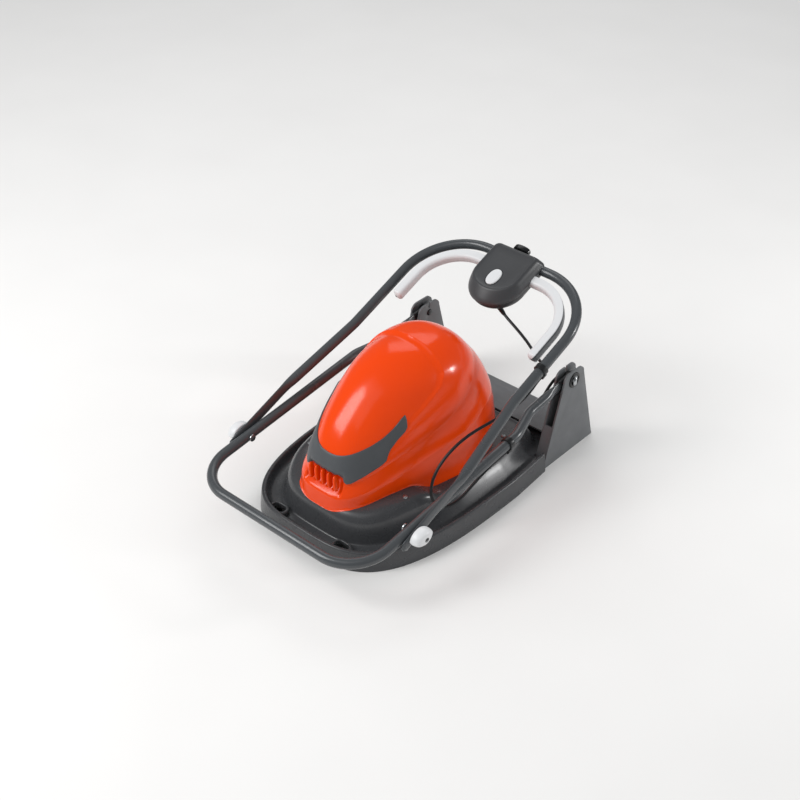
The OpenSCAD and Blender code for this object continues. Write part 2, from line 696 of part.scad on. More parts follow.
// Motor
module motor_plate() color("#8d9093") on_spindle() translate([0, 0, dome_h]) difference() {
    cylinder(h = plate_t, r = plate_r);
    translate([0, 0, -over]) cylinder(h = plate_t + 2 * over, r = bearing_r + boss_wall);
    for (a = [0 : plate_screw_n - 1]) rotate([0, 0, 360 * (a + 1 / 2) / plate_screw_n])
        translate([plate_screw_ring, 0, -over]) cylinder(h = plate_t + 2 * over, r = screw_r + fit);
}
module plate_screws() color("#c8cacc") on_spindle() for (a = [0 : plate_screw_n - 1])
    rotate([0, 0, 360 * (a + 1 / 2) / plate_screw_n])
        translate([plate_screw_ring, 0, dome_h - deck_wall]) mirror([0, 0, 1])
            screw(screw_l - deck_wall, screw_r, head_r, head_h);
module motor_can() color("#7b7e81") on_spindle() difference() {
    translate([0, 0, plate_h]) cylinder(h = motor_l, r = motor_r);
    translate([0, 0, plate_h + bearing_t + motor_wall])
        cylinder(h = motor_l - 2 * (bearing_t + motor_wall), r = motor_r - motor_wall);
    translate([0, 0, plate_h - over]) cylinder(h = bearing_t + over, r = bearing_r + fit);
    translate([0, 0, motor_top - bearing_t]) cylinder(h = bearing_t + over, r = bearing_r + fit);
    translate([0, 0, plate_h]) cylinder(h = motor_l, r = shaft_r + motor_wall);
    for (a = [0 : plate_screw_n - 1]) rotate([0, 0, 360 * (a + 1 / 2) / plate_screw_n])
        translate([plate_screw_ring, 0, plate_h - over]) cylinder(h = screw_l, r = screw_r + fit);
}
module lower_bearing() color("#d0d2d4") on_spindle() translate([0, 0, plate_h])
    ring(bearing_t, bearing_r, shaft_r + fit);
module upper_bearing() color("#d0d2d4") on_spindle() translate([0, 0, motor_top - bearing_t])
    ring(bearing_t, bearing_r, shaft_r + fit);
module stator_core() color("#5a5c5e") on_spindle() translate([0, 0, plate_h + core_lift])
    ring(core_h, motor_r - motor_wall - fit, motor_r - motor_wall - core_t);
module field_coils() color("#b3672f") on_spindle()
    for (a = [90, 270]) for (h = [core_lift - coil_r - seat, core_lift + core_h + coil_r + seat])
        rotate([0, 0, a]) translate([0, 0, plate_h + h]) rotate([0, 0, -60])
            rotate_extrude(angle = 120) translate([motor_r - motor_wall - coil_r - seat, 0])
                circle(coil_r);
module brush_holders() color("#a98a3c") on_spindle() for (s = [-1, 1])
    translate([s > 0 ? commutator_r + seat : -motor_r + motor_wall + seat, -brush_w / 2,
        plate_h + commutator_lift])
        cube([motor_r - motor_wall - commutator_r - 2 * seat, brush_w, brush_l]);
module armature() color("#8a8c8e") on_spindle() difference() {
    union() {
        translate([0, 0, shaft_low]) cylinder(h = motor_top + motor_wall - shaft_low, r = shaft_r);
        translate([0, 0, plate_h + armature_lift]) cylinder(h = armature_l, r = armature_r);
        translate([0, 0, plate_h + commutator_lift]) cylinder(h = commutator_l, r = commutator_r);
    }
    translate([0, 0, shaft_low - over]) cylinder(h = bolt_depth + over, r = bolt_r + fit);
}
module impeller() color("#33363a") on_spindle() difference() {
    union() {
        translate([0, 0, shaft_low]) cylinder(h = hub_top - shaft_low, r = hub_r);
        translate([0, 0, hub_top - fan_t]) cylinder(h = fan_t, r = impeller_d / 2);
        for (v = [0 : fan_vane_n - 1]) rotate([0, 0, 360 * v / fan_vane_n])
            translate([hub_r - fan_vane_t, 0, hub_top - fan_t - fan_vane_h]) rotate([0, 0, fan_sweep])
                translate([0, -fan_vane_t / 2, 0])
                    cube([(impeller_d / 2 - hub_r) * cos(fan_sweep), fan_vane_t, fan_vane_h + fan_t / 2]);
    }
    translate([0, 0, shaft_low - over]) cylinder(h = hub_top, r = shaft_r + fit);
}
module blade_spacer() color("#d7822b") on_spindle() translate([0, 0, blade_h + blade_t])
    ring(spacer_t, spacer_r, bolt_r + fit);
module cutting_blade() color("#9a9da0") on_spindle() translate([0, 0, blade_h]) difference() {
    translate([-blade_len / 2, -blade_w / 2, 0]) cube([blade_len, blade_w, blade_t]);
    translate([0, 0, -over]) cylinder(h = blade_t + 2 * over, r = bolt_r + fit);
    for (a = [0, 180]) rotate([0, 0, a]) translate([blade_len / 2, blade_w / 2, -over])
        rotate([0, 0, 45]) translate([-blade_tip_cut, -blade_tip_cut, 0])
            cube([2 * blade_tip_cut, 2 * blade_tip_cut, blade_t + 2 * over]);
}
module blade_washer() color("#a4a7aa") on_spindle() translate([0, 0, blade_h - washer_t])
    ring(washer_t, washer_r, bolt_r + fit);
module blade_bolt() color("#b9bbbd") on_spindle() translate([0, 0, blade_h - washer_t]) {
    translate([0, 0, -bolt_hex_h]) cylinder(h = bolt_hex_h, r = bolt_flat_r, $fn = 6);
    cylinder(h = washer_t + blade_t + spacer_t + bolt_depth - over, r = bolt_r);
}

// Lower handle: lugs in the brackets, then tube up to the cross bar
lower_half = run_points([[joggle_start - lug_l + tube_r / 2, -joggle_turn, joggle_bend],
    [joggle_run, joggle_turn, joggle_bend],
    [low_len - low_bend - joggle_start - joggle_l, 90, low_bend],
    [low_half_w - low_bend, 0, 0]], [lug_x, -lug_l + tube_r / 2]);
module lower_handle() color("#4b5052") on_lower() difference() {
    union() {
        sweep(tube_sections(there_and_back(lower_half), tube_r, tube_n));
        both_sides() {
            translate([lug_x - lug_t / 2, -lug_l, -lug_r]) cube([lug_t, lug_l, 2 * lug_r]);
            translate([lug_x - lug_t / 2, 0, 0]) along_x(lug_t, lug_r);
        }
    }
    sweep(tube_sections(there_and_back(lower_half), tube_r - tube_wall, core_n));
    both_sides() {
        translate([lug_x - lug_t, 0, 0]) along_x(2 * lug_t, pivot_d / 2 + fit);
        translate([low_half_w - tube_d, -knob_reach, 0]) along_x(2 * tube_d, clamp_d / 2 + fit);
    }
}
module clamp_bolts() color("#c8cacc") on_lower() both_sides()
    translate([low_half_w - tube_r, -knob_reach, 0]) {
        translate([-bolt_head_h, 0, 0]) along_x(bolt_head_h, bolt_head_r);
        along_x(knob_x + knob_bore - seat - low_half_w + tube_r, clamp_d / 2);
    }

// Upper handle: flat legs at the clamp, then tube up to the loop
upper_half = run_points([[ease_start - leg_flat_l + tube_r / 2, ease_turn, ease_bend],
    [ease_run, -ease_turn, ease_bend],
    [up_len - loop_bend - ease_start - ease_l, 90, loop_bend],
    [loop_half_w - loop_bend, 0, 0]], [up_half_w, -leg_flat_l + tube_r / 2]);
module upper_handle() color("#4b5052") on_upper() difference() {
    union() {
        rotate([0, 0, 180]) sweep(tube_sections(there_and_back(upper_half), tube_r, tube_n));
        both_sides() {
            translate([up_half_w - leg_flat_t / 2, -up_tail + leg_flat_h / 2, -leg_flat_h / 2])
                cube([leg_flat_t, up_tail + leg_flat_l - leg_flat_h / 2, leg_flat_h]);
            translate([up_half_w - leg_flat_t / 2, -up_tail + leg_flat_h / 2, 0])
                along_x(leg_flat_t, leg_flat_h / 2);
        }
    }
    rotate([0, 0, 180]) sweep(tube_sections(there_and_back(upper_half), tube_r - tube_wall, core_n));
    both_sides() translate([up_half_w - leg_flat_t, 0, 0])
        along_x(2 * leg_flat_t, clamp_d / 2 + 2 * fit);
}
module knob() on_lower() translate([knob_x, -knob_reach, 0]) rotate([0, 90, 0]) difference() {
    hull() for (s = [-1, 1]) translate([0, s * (knob_l - knob_w) / 2, 0]) {
        cylinder(h = knob_t - knob_crown, r = knob_w / 2, $fn = 32);
        cylinder(h = knob_t, r = knob_w / 2 - knob_crown, $fn = 32);
    }
    translate([0, 0, -over]) cylinder(h = knob_bore + over, r = clamp_d / 2 + 2 * fit);
}
module right_knob() color("#e6e7e8") knob();
module left_knob() color("#e6e7e8") mirror([1, 0, 0]) knob();

// Switch box: a base and a top that part at the loop bar's centre
module box_plan(inset) polygon(concat(
    [for (a = [0 : box_corner_n]) [(box_half_w - inset) * cos(180 * a / box_corner_n),
        box_front_y + box_nose - (box_nose - inset) * sin(180 * a / box_corner_n)]],
    [[-box_half_w + inset, box_rear_y - inset], [box_half_w - inset, box_rear_y - inset]]));
module box_shape(h, step, draft, inset) hull() {
    linear_extrude(step) box_plan(inset);
    linear_extrude(h) box_plan(inset + draft);
}
module box_cavity() intersection() {
    union() {
        box_shape(box_up - box_wall, box_step, box_draft, box_wall);
        mirror([0, 0, 1]) box_shape(box_down - box_wall, box_step, box_draft, box_wall);
    }
    translate([-box_half_w, 0, -box_down]) cube([2 * box_half_w, cavity_back, box_down + box_up]);
}
module box_openings() {
    box_cavity();
    translate([-box_half_w - over, up_len, 0]) along_x(2 * (box_half_w + over), tube_r + fit);
    translate([-box_half_w - over, lever_y - lever_w / 2 - seat, -lever_t / 2 - seat])
        cube([2 * (box_half_w + over), lever_w + lever_room + seat, lever_t + 2 * seat]);
    translate([0, inlet_start, inlet_lift]) inlet_block(box_rear, inlet_r + fit);
    both_sides() translate([box_screw_x, box_screw_y, -box_down - over])
        cylinder(h = box_down + over + screw_l, r = screw_r + fit);
}
// A block with round ends along X, that reaches back from the given place
module inlet_block(l, r) rotate([-90, 0, 0]) rotate([0, 0, 90]) stadium(l, inlet_w - 2 * inlet_r, r);
module switch_box_base() color("#4d4f52") on_upper() difference() {
    union() {
        difference() {
            mirror([0, 0, 1]) box_shape(box_down, box_step, box_draft, 0);
            box_openings();
        }
        both_sides() difference() {
            translate([box_screw_x, box_screw_y, -box_down + box_wall])
                cylinder(h = box_down - box_wall, r = screw_r + boss_wall);
            translate([box_screw_x, box_screw_y, -box_down])
                cylinder(h = box_down + over, r = screw_r + fit);
        }
    }
    both_sides() translate([lever_pivot_x, lever_y, -box_down + over])
        cylinder(h = box_down, r = lever_pin_r + fit);
    translate([lead_exit.x, lead_exit.y, -box_down - over])
        cylinder(h = box_wall + 2 * over, r = lead_r + lead_gap);
}
module switch_box_top() color("#4d4f52") on_upper() difference() {
    union() {
        difference() {
            box_shape(box_up, box_step, box_draft, 0);
            box_openings();
        }
        both_sides() difference() {
            translate([box_screw_x, box_screw_y, 0])
                cylinder(h = box_up - box_wall / 2, r = screw_r + boss_wall);
            translate([box_screw_x, box_screw_y, -over]) cylinder(h = screw_l + over, r = screw_r + fit);
        }
    }
    translate([0, button_y, 0])
        stadium(box_up + over, button_l - button_w, button_w / 2 + button_gap);
}
module box_screws() color("#c8cacc") on_upper() both_sides()
    translate([box_screw_x, box_screw_y, -box_down]) mirror([0, 0, 1])
        screw(box_down + screw_l - over, screw_r, head_r, head_h);
module lever_pins() color("#b9bbbd") on_upper() both_sides()
    translate([lever_pivot_x, lever_y, -box_down + over + seat])
        cylinder(h = box_down - over + lever_t / 2 - seat, r = lever_pin_r);
module micro_switch() color("#1d1e20") on_upper()
    translate([-switch_l / 2, lever_y - switch_w / 2 - switch_back, -box_down + box_wall])
        cube([switch_l, switch_w, switch_t]);
module button_spring() color("#b9bbbd") on_upper()
    translate([0, button_y, -box_down + box_wall + seat])
        spring(box_down - box_wall + button_lip_top - button_lip_t - 2 * seat, button_spring_r,
            button_spring_turns);
module lock_button() color("#e6e7e8") on_upper() translate([0, button_y, 0]) {
    translate([0, 0, button_lip_top - button_lip_t])
        stadium(button_lip_t, button_l - button_w, button_w / 2 + button_lip);
    translate([0, 0, button_lip_top - button_lip_t])
        stadium(box_up + button_proud - button_lip_top + button_lip_t, button_l - button_w, button_w / 2);
}
module lever_springs() color("#b9bbbd") on_upper() both_sides()
    translate([lever_spring_x, lever_y + lever_w / 2 + seat, 0]) rotate([-90, 0, 0])
        spring(cavity_back - lever_y - lever_w / 2 - 2 * seat, lever_spring_r, lever_spring_turns);
module mains_inlet() color("#17181a") on_upper()
    translate([0, inlet_start + fit, inlet_lift]) difference() {
        inlet_block(inlet_end - inlet_start - fit, inlet_r);
        translate([0, inlet_end - inlet_start - inlet_depth, 0])
            inlet_block(inlet_depth, inlet_r - inlet_wall);
    }

// Switch levers: a channel that follows the loop, with a core along its outer side
module lever_steps() translate([lever_pivot_x, lever_y, 0]) rotate([0, 0, 90])
    run([[lever_x - lever_pivot_x, 90, lever_r], [lever_tail, 0, 0]]) children();
module lever_outer() square([lever_w, lever_t], center = true);
module lever_inner(gap, out) translate([lever_wall + gap - lever_w / 2, lever_wall + gap - lever_t / 2])
    square([lever_w - lever_wall - gap + out, lever_t - 2 * lever_wall - 2 * gap]);
module lever() on_upper() difference() {
    union() {
        difference() {
            lever_steps() lever_outer();
            lever_steps() lever_inner(0, over);
        }
        translate([lever_pivot_x, lever_y, -lever_t / 2]) cylinder(h = lever_t, r = lever_boss_r);
    }
    translate([lever_pivot_x, lever_y, -lever_t]) cylinder(h = 2 * lever_t, r = lever_pin_r + fit);
}
module lever_core() on_upper() difference() {
    lever_steps() lever_inner(fit, 0);
    translate([lever_pivot_x, lever_y, -lever_t]) cylinder(h = 2 * lever_t, r = lever_boss_r + fit);
}
module right_lever() color("#e6e7e8") lever();
module left_lever() color("#e6e7e8") mirror([1, 0, 0]) lever();
module right_lever_core() color("#5a5d60") lever_core();
module left_lever_core() color("#5a5d60") mirror([1, 0, 0]) lever_core();

// Motor lead, its clips and its gland
module clip(x) translate([x, 0, 0]) difference() {
    union() {
        along_y(clip_w, tube_r + clip_wall);
        translate([0, 0, -eye_drop]) along_y(clip_w, lead_r + clip_wall);
    }
    translate([0, -over, 0]) along_y(clip_w + 2 * over, tube_r + fit);
    translate([0, -over, -eye_drop]) along_y(clip_w + 2 * over, lead_r + lead_gap);
}
module upper_clip() color("#17181a") on_upper() translate([0, clip_up_y - clip_w / 2, 0])
    clip(loop_half_w);
module lower_clip() color("#17181a") on_lower() translate([0, -clip_low_y - clip_w / 2, 0])
    clip(low_half_w);
module lead_gland() color("#17181a") on_base()
    translate([gland_at.x, gland_at.y, panel_h + panel_t]) difference() {
        cylinder(h = gland_h, r1 = gland_r, r2 = gland_tip_r);
        translate([0, 0, -over]) cylinder(h = gland_h + 2 * over, r = lead_r + lead_gap);
    }
// Points of a route on a tilted handle, and the clips' eyes, measured from the pivot
function from_lower(p) = [p.x, p.y * cos(low_tilt) - p.z * sin(low_tilt),
    pivot_h + p.y * sin(low_tilt) + p.z * cos(low_tilt)];
function from_upper(p) = [p.x, knob_y + p.y * cos(up_tilt) - p.z * sin(up_tilt),
    knob_z + p.y * sin(up_tilt) + p.z * cos(up_tilt)];
module lead(points) color("#151617") on_base() sweep(tube_sections(curve(points, 2), lead_r, lead_n));
module lead_upper() lead([for (p = lead_upper_points) from_upper(p)]);
module lead_lower() lead([for (p = lead_lower_points) from_lower(p)]);
module lead_loop() {
    a = lead_upper_points[len(lead_upper_points) - 1];
    b = lead_lower_points[0];
    lead(concat([for (d = [lead_joint, lead_step / 2, lead_step]) from_upper(a - [0, d, 0])],
        [for (p = lead_slack) [low_half_w + p.x, p.y, p.z]],
        [for (d = [lead_step, lead_step / 2, lead_joint]) from_lower(b - [0, d, 0])]));
}
module lead_tail() {
    a = lead_lower_points[len(lead_lower_points) - 1];
    lead(concat([for (d = [lead_joint, lead_step / 2, lead_step]) from_lower(a + [0, d, 0])],
        [for (p = lead_drop) [low_half_w + p.x, p.y, p.z]],
        [for (h = [gland_h + 2 * lead_step, gland_h + lead_step, gland_h / 2, 0])
            [gland_at.x, gland_at.y, panel_h + panel_t + h]]));
}

deck();
rear_panel();
left_bracket();
right_bracket();
pivot_bolts();
motor_plate();
plate_screws();
motor_can();
stator_core();
field_coils();
brush_holders();
lower_bearing();
upper_bearing();
motor_hood();
hood_trim();
deck_screws();
panel_screws();
lead_gland();
lead_tail();
armature();
impeller();
blade_spacer();
cutting_blade();
blade_washer();
blade_bolt();
lower_handle();
pivot_washers();
clamp_bolts();
lower_clip();
lead_lower();
lead_loop();
upper_handle();
switch_box_base();
switch_box_top();
box_screws();
micro_switch();
button_spring();
lever_pins();
lever_springs();
mains_inlet();
upper_clip();
lead_upper();
left_knob();
right_knob();
left_lever();
right_lever();
left_lever_core();
right_lever_core();
lock_button();
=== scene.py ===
import json
import math

import bmesh
import bpy
import numpy as np
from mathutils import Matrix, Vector
from mathutils.bvhtree import BVHTree


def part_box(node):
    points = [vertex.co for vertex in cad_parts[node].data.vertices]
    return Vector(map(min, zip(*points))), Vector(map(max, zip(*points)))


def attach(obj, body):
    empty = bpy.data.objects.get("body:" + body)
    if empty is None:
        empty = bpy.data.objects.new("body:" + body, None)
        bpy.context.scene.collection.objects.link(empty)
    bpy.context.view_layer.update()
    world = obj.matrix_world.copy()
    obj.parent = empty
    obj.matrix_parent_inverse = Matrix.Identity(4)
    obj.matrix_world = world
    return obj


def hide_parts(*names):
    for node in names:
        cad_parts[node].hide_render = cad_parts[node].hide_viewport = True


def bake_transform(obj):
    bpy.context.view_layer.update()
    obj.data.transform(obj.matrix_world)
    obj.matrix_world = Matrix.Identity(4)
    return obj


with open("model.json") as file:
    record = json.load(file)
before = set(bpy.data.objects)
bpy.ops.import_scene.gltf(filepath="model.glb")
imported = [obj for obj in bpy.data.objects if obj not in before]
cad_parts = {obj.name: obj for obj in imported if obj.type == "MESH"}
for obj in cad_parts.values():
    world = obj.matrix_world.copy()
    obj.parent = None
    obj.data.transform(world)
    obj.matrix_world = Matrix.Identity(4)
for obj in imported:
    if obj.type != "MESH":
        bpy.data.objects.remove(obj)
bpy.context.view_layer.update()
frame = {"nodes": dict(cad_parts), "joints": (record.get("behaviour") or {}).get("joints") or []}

# Studio: a pale floor, soft lamps above it and a camera to the mower's front right. Places
# are millimetres from the handle's pivot, on the ground below it.
MM = 0.001
sides = (("left", -1), ("right", 1))
joints = {j["name"]: j for j in frame["joints"]}
pivot = Vector(joints["lower_fold"]["pos_m"])
foot = Vector((0, pivot.y, 0))
camera_at = Vector((1553.7, -2058.6, 1885.1))
camera_azimuth = math.radians(41.708)
camera_elevation = math.radians(35.753)
camera_lens = 62.43
camera_far = 100
floor_half = 40000
floor_pale = "#E9E8E6"
floor_dim = "#E3E2E0"
floor_mottle, floor_rough = 350, 0.8
sky_colour = "#F8F9FB"
sky_level, mirrored_level = 0.75, 0.17
lamps = [
    ("window_lamp", (-1600, -2450, 2350), (0, -330, 200), 1200, 2000, 58),
    ("front_lamp", (-250, -2000, 2600), (0, -500, 80), 2600, 1700, 10),
    ("side_lamp", (1660, 1285, 900), (178, -160, 60), 280, 280, 12),
    ("back_lamp", (-1400, 1700, 2700), (0, -250, 250), 2200, 1400, 14),
]


def spot(x, y, z):
    """A place in metres, from millimetres ahead of and across from the pivot."""
    return foot + Vector((x, y, z)) * MM


def linear(colour):
    """An sRGB hex colour as linear light."""
    parts = [int(colour[i:i + 2], 16) / 255 for i in (1, 3, 5)]
    return [p / 12.92 if p <= 0.04045 else ((p + 0.055) / 1.055) ** 2.4 for p in parts] + [1]


def add(tree, kind, sockets, **settings):
    """Adds a node with its settings; a socket takes a value or another node's output."""
    made = tree.nodes.new(kind)
    for key, value in settings.items():
        setattr(made, key, value)
    for key, value in sockets.items():
        if isinstance(value, bpy.types.NodeSocket):
            tree.links.new(value, made.inputs[key])
        else:
            made.inputs[key].default_value = value
    return made


def new_material(name):
    """A material, its tree, its shader, and the socket that gives the place on the object."""
    made = bpy.data.materials.new(name)
    made.use_nodes = True
    tree = made.node_tree
    here = add(tree, "ShaderNodeTexCoord", {}).outputs["Object"]
    return made, tree, tree.nodes["Principled BSDF"], here


def two_tone(tree, shader, share, colour, other):
    """Gives a shader a colour between two, by a share from 0 to 1."""
    tone = add(tree, "ShaderNodeMix", {0: share, 6: linear(colour), 7: linear(other)}, data_type="RGBA")
    tree.links.new(tone.outputs[2], shader.inputs["Base Color"])


def metal(tree, shader, share, colour, other, shine, dull):
    """Gives a shader the look of metal, its tone and its roughness by a share from 0 to 1."""
    two_tone(tree, shader, share, colour, other)
    gloss = add(tree, "ShaderNodeMapRange", {"Value": share, "To Min": shine, "To Max": dull})
    tree.links.new(gloss.outputs["Result"], shader.inputs["Roughness"])
    shader.inputs["Metallic"].default_value = 1


def linked(name, data):
    """An object in the scene that holds a mesh, a lamp or a camera."""
    made = bpy.data.objects.new(name, data)
    bpy.context.scene.collection.objects.link(made)
    return made


def piece(name, points, faces, material, smooth=True):
    """A mesh object at the origin, from places in metres."""
    mesh = bpy.data.meshes.new(name)
    mesh.from_pydata([tuple(p) for p in points], [], faces)
    mesh.materials.append(material)
    mesh.polygons.foreach_set("use_smooth", [smooth] * len(mesh.polygons))
    mesh.validate()
    return linked(name, mesh)


floor_finish, tree, shader, here = new_material("matt_studio_floor")
mottle = add(tree, "ShaderNodeTexNoise", {"Vector": here, "Scale": 1 / (floor_mottle * MM)})
two_tone(tree, shader, mottle.outputs["Fac"], floor_pale, floor_dim)
shader.inputs["Roughness"].default_value = floor_rough
floor = piece("floor", [spot(x * floor_half, y * floor_half, 0) for x, y in
                        ((-1, -1), (1, -1), (1, 1), (-1, 1))], [(0, 1, 2, 3)], floor_finish, False)

world = bpy.data.worlds.new("soft_sky")
bpy.context.scene.world = world
world.use_nodes = True
tree = world.node_tree
sky = tree.nodes["Background"]
sky.inputs["Color"].default_value = linear(sky_colour)
# The sky is white behind the mower, gives less light than that, and shows least in reflections.
ray = add(tree, "ShaderNodeLightPath", {})
level = add(tree, "ShaderNodeMapRange", {"Value": ray.outputs["Is Glossy Ray"],
                                         "To Min": sky_level, "To Max": mirrored_level})
level = add(tree, "ShaderNodeMath", {0: level.outputs["Result"], 1: ray.outputs["Is Camera Ray"]},
            operation="MAXIMUM")
tree.links.new(level.outputs["Value"], sky.inputs["Strength"])
for name, place, aim, wide, tall, power in lamps:
    data = bpy.data.lights.new(name, "AREA")
    data.shape, data.size, data.size_y, data.energy = "RECTANGLE", wide * MM, tall * MM, power
    lamp = linked(name, data)
    lamp.location = spot(*place)
    lamp.rotation_euler = (spot(*aim) - spot(*place)).to_track_quat("-Z", "Y").to_euler()

camera = linked("camera", bpy.data.cameras.new("camera"))
camera.data.lens = camera_lens
camera.data.clip_end = camera_far
camera.location = spot(*camera_at)
toward = -Vector((math.sin(camera_azimuth) * math.cos(camera_elevation),
                  -math.cos(camera_azimuth) * math.cos(camera_elevation), math.sin(camera_elevation)))
camera.rotation_euler = toward.to_track_quat("-Z", "Y").to_euler()
bpy.context.scene.camera = camera
bpy.context.scene.view_settings.view_transform = "Standard"

# Deck: one polypropylene moulding. A skirt with a rolled rim stands on the ground, a trough
# runs round inside it, and a dome in the middle carries the hood.
deck_half_w, deck_front, deck_rear, deck_mid = 231, 420, 260, -200
deck_nose, deck_side, deck_tail, deck_taper = 3, 3.5, 14, 0.08
rise_ahead, rise_run, rise_h = 82, 70, 28
fall_ahead, fall_run, fall_share = 190, 95, 0.36
dome_h = 72
# Each row of the section: how far in from the rim at the sides and at the rear, the height, the
# share of the dome's rise, and the share of the dome's height where a full flank runs down each side.
deck_profile = [
    (78, 59, 68, 1, 0), (66, 59, 62, 1, 0), (58, 59, 48, 1, 0), (50, 59, 22, 0, 0), (30, 10, 22, 0, 0),
    (8, 0, 22, 0, 0), (6.5, 0, 10, 0, 0), (4.5, 0, 0.4, 0, 0), (2, 0, 0, 0, 0), (0, 0, 1.2, 0, 0),
    (2, 0, 22, 0, 0), (3.4, 0, 38, 0, 0), (4.2, 0, 43, 0, 0), (6.4, 0, 45, 0, 0), (9.5, 0, 45.4, 0, 0),
    (12.2, 0, 44, 0, 0), (14, 0, 40.5, 0, 0), (17, 0, 32, 0, 0), (21, 0, 27.6, 0, 0),
    (27, 0, 26, 0, 0.05), (34, 20, 26, 0, 0.25), (40, 42, 26.4, 0, 0.42), (44, 55, 28.5, 0, 0.53),
    (47, 59, 34, 0.15, 0.61),
    (50, 59, 42, 0.5, 0.685), (53, 59, 51, 1, 0.755), (56, 59, 58.5, 1, 0.82), (60.5, 59, 65.5, 1, 0.9),
    (67, 59, 70.4, 1, 0.97), (74, 59, 72, 1, 1)]
trough_h, flank_front, flank_rear = 26, -440, -45
flank_rise, flank_fall, flank_least = 110, 125, 0.01
profile_steps = 3
ring_even, ring_nose, ring_tail, ring_side = 28, 26, 22, 15
cap_steps, cap_end = 26, 0.004
notch_in, notch_y, notch_low = 190.7, -92.3, -9
spindle_y, spindle_hole, hole_low = -270, 32, 40
well_x, well_y, well_l, well_r, well_low = 89, -590, 14, 10.5, -5
lip_r, lip_h, lip_gap, lip_in, lip_foot, lip_open = 4.5, 38, 1.6, 0.6, 23, -0.3


def smooth(t):
    t = np.clip(t, 0, 1)
    return t * t * (3 - 2 * t)


def dome_rise(y):
    """Extra height of the dome: it rises beside the hood and falls away to the nose."""
    ahead = spindle_y - y
    return rise_h * (smooth((ahead - rise_ahead) / rise_run)
                     - fall_share * smooth((ahead - fall_ahead) / fall_run))


def through(table, steps):
    """A smooth run of rows through the rows of a table, with that many steps between two."""
    rows = np.array(table, float)
    slope = np.gradient(rows, axis=0)
    at = np.linspace(0, len(rows) - 1, (len(rows) - 1) * steps + 1)
    k = np.minimum(at.astype(int), len(rows) - 2)
    t = (at - k)[:, None]
    return (rows[k] * (1 + 2 * t) * (1 - t) ** 2 + slope[k] * t * (1 - t) ** 2
            + rows[k + 1] * t * t * (3 - 2 * t) + slope[k + 1] * t * t * (t - 1))


def nose_shares(nose, side, even, turned):
    """Shares of length and of half width from the widest place to the tip of a nose."""
    u = even * 0.5 ** (1 / nose)
    w = 0.5 ** (1 / side) * (1 - turned)
    return (np.concatenate([u, (1 - w ** side) ** (1 / nose)]),
            np.concatenate([(1 - u ** nose) ** (1 / side), w]))


def deck_ring(inset, back):
    even = np.arange(ring_even) / ring_even
    turned = np.arange(ring_nose + 1) / ring_nose
    u, w = nose_shares(deck_nose, deck_side, even, turned)
    y, x = deck_mid - (deck_front - inset) * u, (deck_half_w - inset) * w
    v = np.sin(np.radians(np.linspace(90, 0, ring_tail, endpoint=False))) ** (2 / deck_tail)
    v = np.concatenate([v, v[-1] * (1 - np.arange(1, ring_side) / ring_side)])
    ty = deck_mid + (deck_rear - inset - back) * v
    tx = np.maximum(1 - v ** deck_tail, 0) ** (1 / deck_tail) * (1 - deck_taper * v)
    tx *= deck_half_w - inset
    half = np.stack([np.concatenate([tx, x]), np.concatenate([ty, y])], 1)
    return np.concatenate([half, half[-2:0:-1] * [-1, 1]])


def at_height(outline, z):
    """A flat outline as places at that height."""
    return np.column_stack([outline, np.full(len(outline), z)])


def loft(rings, loop=False):
    """Faces between rings of equally many places; each ring is closed."""
    n, count = len(rings[0]), len(rings)
    return [(a * n + i, a * n + (i + 1) % n, b * n + (i + 1) % n, b * n + i)
            for a, b in zip(range(count - (not loop)), list(range(1, count)) + [0]) for i in range(n)]


def closed(rings):
    """The same, with a face over the first ring and one over the last."""
    n = len(rings[0])
    return loft(rings) + [tuple(range(n))[::-1], tuple(range((len(rings) - 1) * n, len(rings) * n))]


def grid(rows):
    """Places in metres, from rows of millimetres."""
    return np.concatenate(rows) * MM + np.array(foot)


def outward(target):
    """Joins places that coincide and turns every face of a piece outward."""
    bm = bmesh.new()
    bm.from_mesh(target.data)
    bmesh.ops.remove_doubles(bm, verts=bm.verts, dist=1e-6)
    bmesh.ops.recalc_face_normals(bm, faces=bm.faces)
    bm.to_mesh(target.data)
    bm.free()
    return target


def settle(target):
    """Puts a piece's modifiers into its mesh."""
    depsgraph = bpy.context.evaluated_depsgraph_get()
    made = bpy.data.meshes.new_from_object(target.evaluated_get(depsgraph))
    target.modifiers.clear()
    target.data = made


def cut(target, *cutters):
    """Takes the cutters out of a piece and deletes them."""
    for cutter in cutters:
        change = target.modifiers.new("cut", "BOOLEAN")
        change.operation, change.solver, change.object = "DIFFERENCE", "EXACT", cutter
    settle(target)
    for cutter in cutters:
        bpy.data.objects.remove(cutter)


def shade(target, degrees):
    """Smooth shading, with an edge kept sharp where its faces meet at more than that."""
    target.data.shade_smooth()
    target.data.set_sharp_from_angle(angle=math.radians(degrees))


def fitted(target, slot, body, *nodes, sharp=0):
    """Shades a piece, hides the CAD nodes that it stands for and hangs it on its body's empty. The slot
    is not used.
    """
    if sharp:
        shade(target, sharp)
    if nodes:
        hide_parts(*nodes)
    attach(target, body)


def lofted(name, place, rings, material, slot, body, *nodes, loop=False, sharp=0):
    """A fitted piece through closed rings; a function puts them in place."""
    faces = loft(rings, True) if loop else closed(rings)
    fitted(outward(piece(name, place(rings), faces, material)), slot, body, *nodes, sharp=sharp)


def turn_by(step):
    """Angles round a full turn, in steps of that many degrees."""
    return np.radians(np.arange(0, 360, step))


def stadium(half_l, r, n=12):
    """An outline of two half circles, with its long side along X."""
    a = np.radians(np.linspace(-90, 90, n + 1))
    right = np.stack([half_l + r * np.cos(a), r * np.sin(a)], 1)
    return np.concatenate([right, -right])


def prism(outline, low, high, material):
    """An upright cutter with that outline."""
    rings = [at_height(outline, z) for z in (low, high)]
    return outward(piece("cutter", grid(rings), closed(rings), material, False))


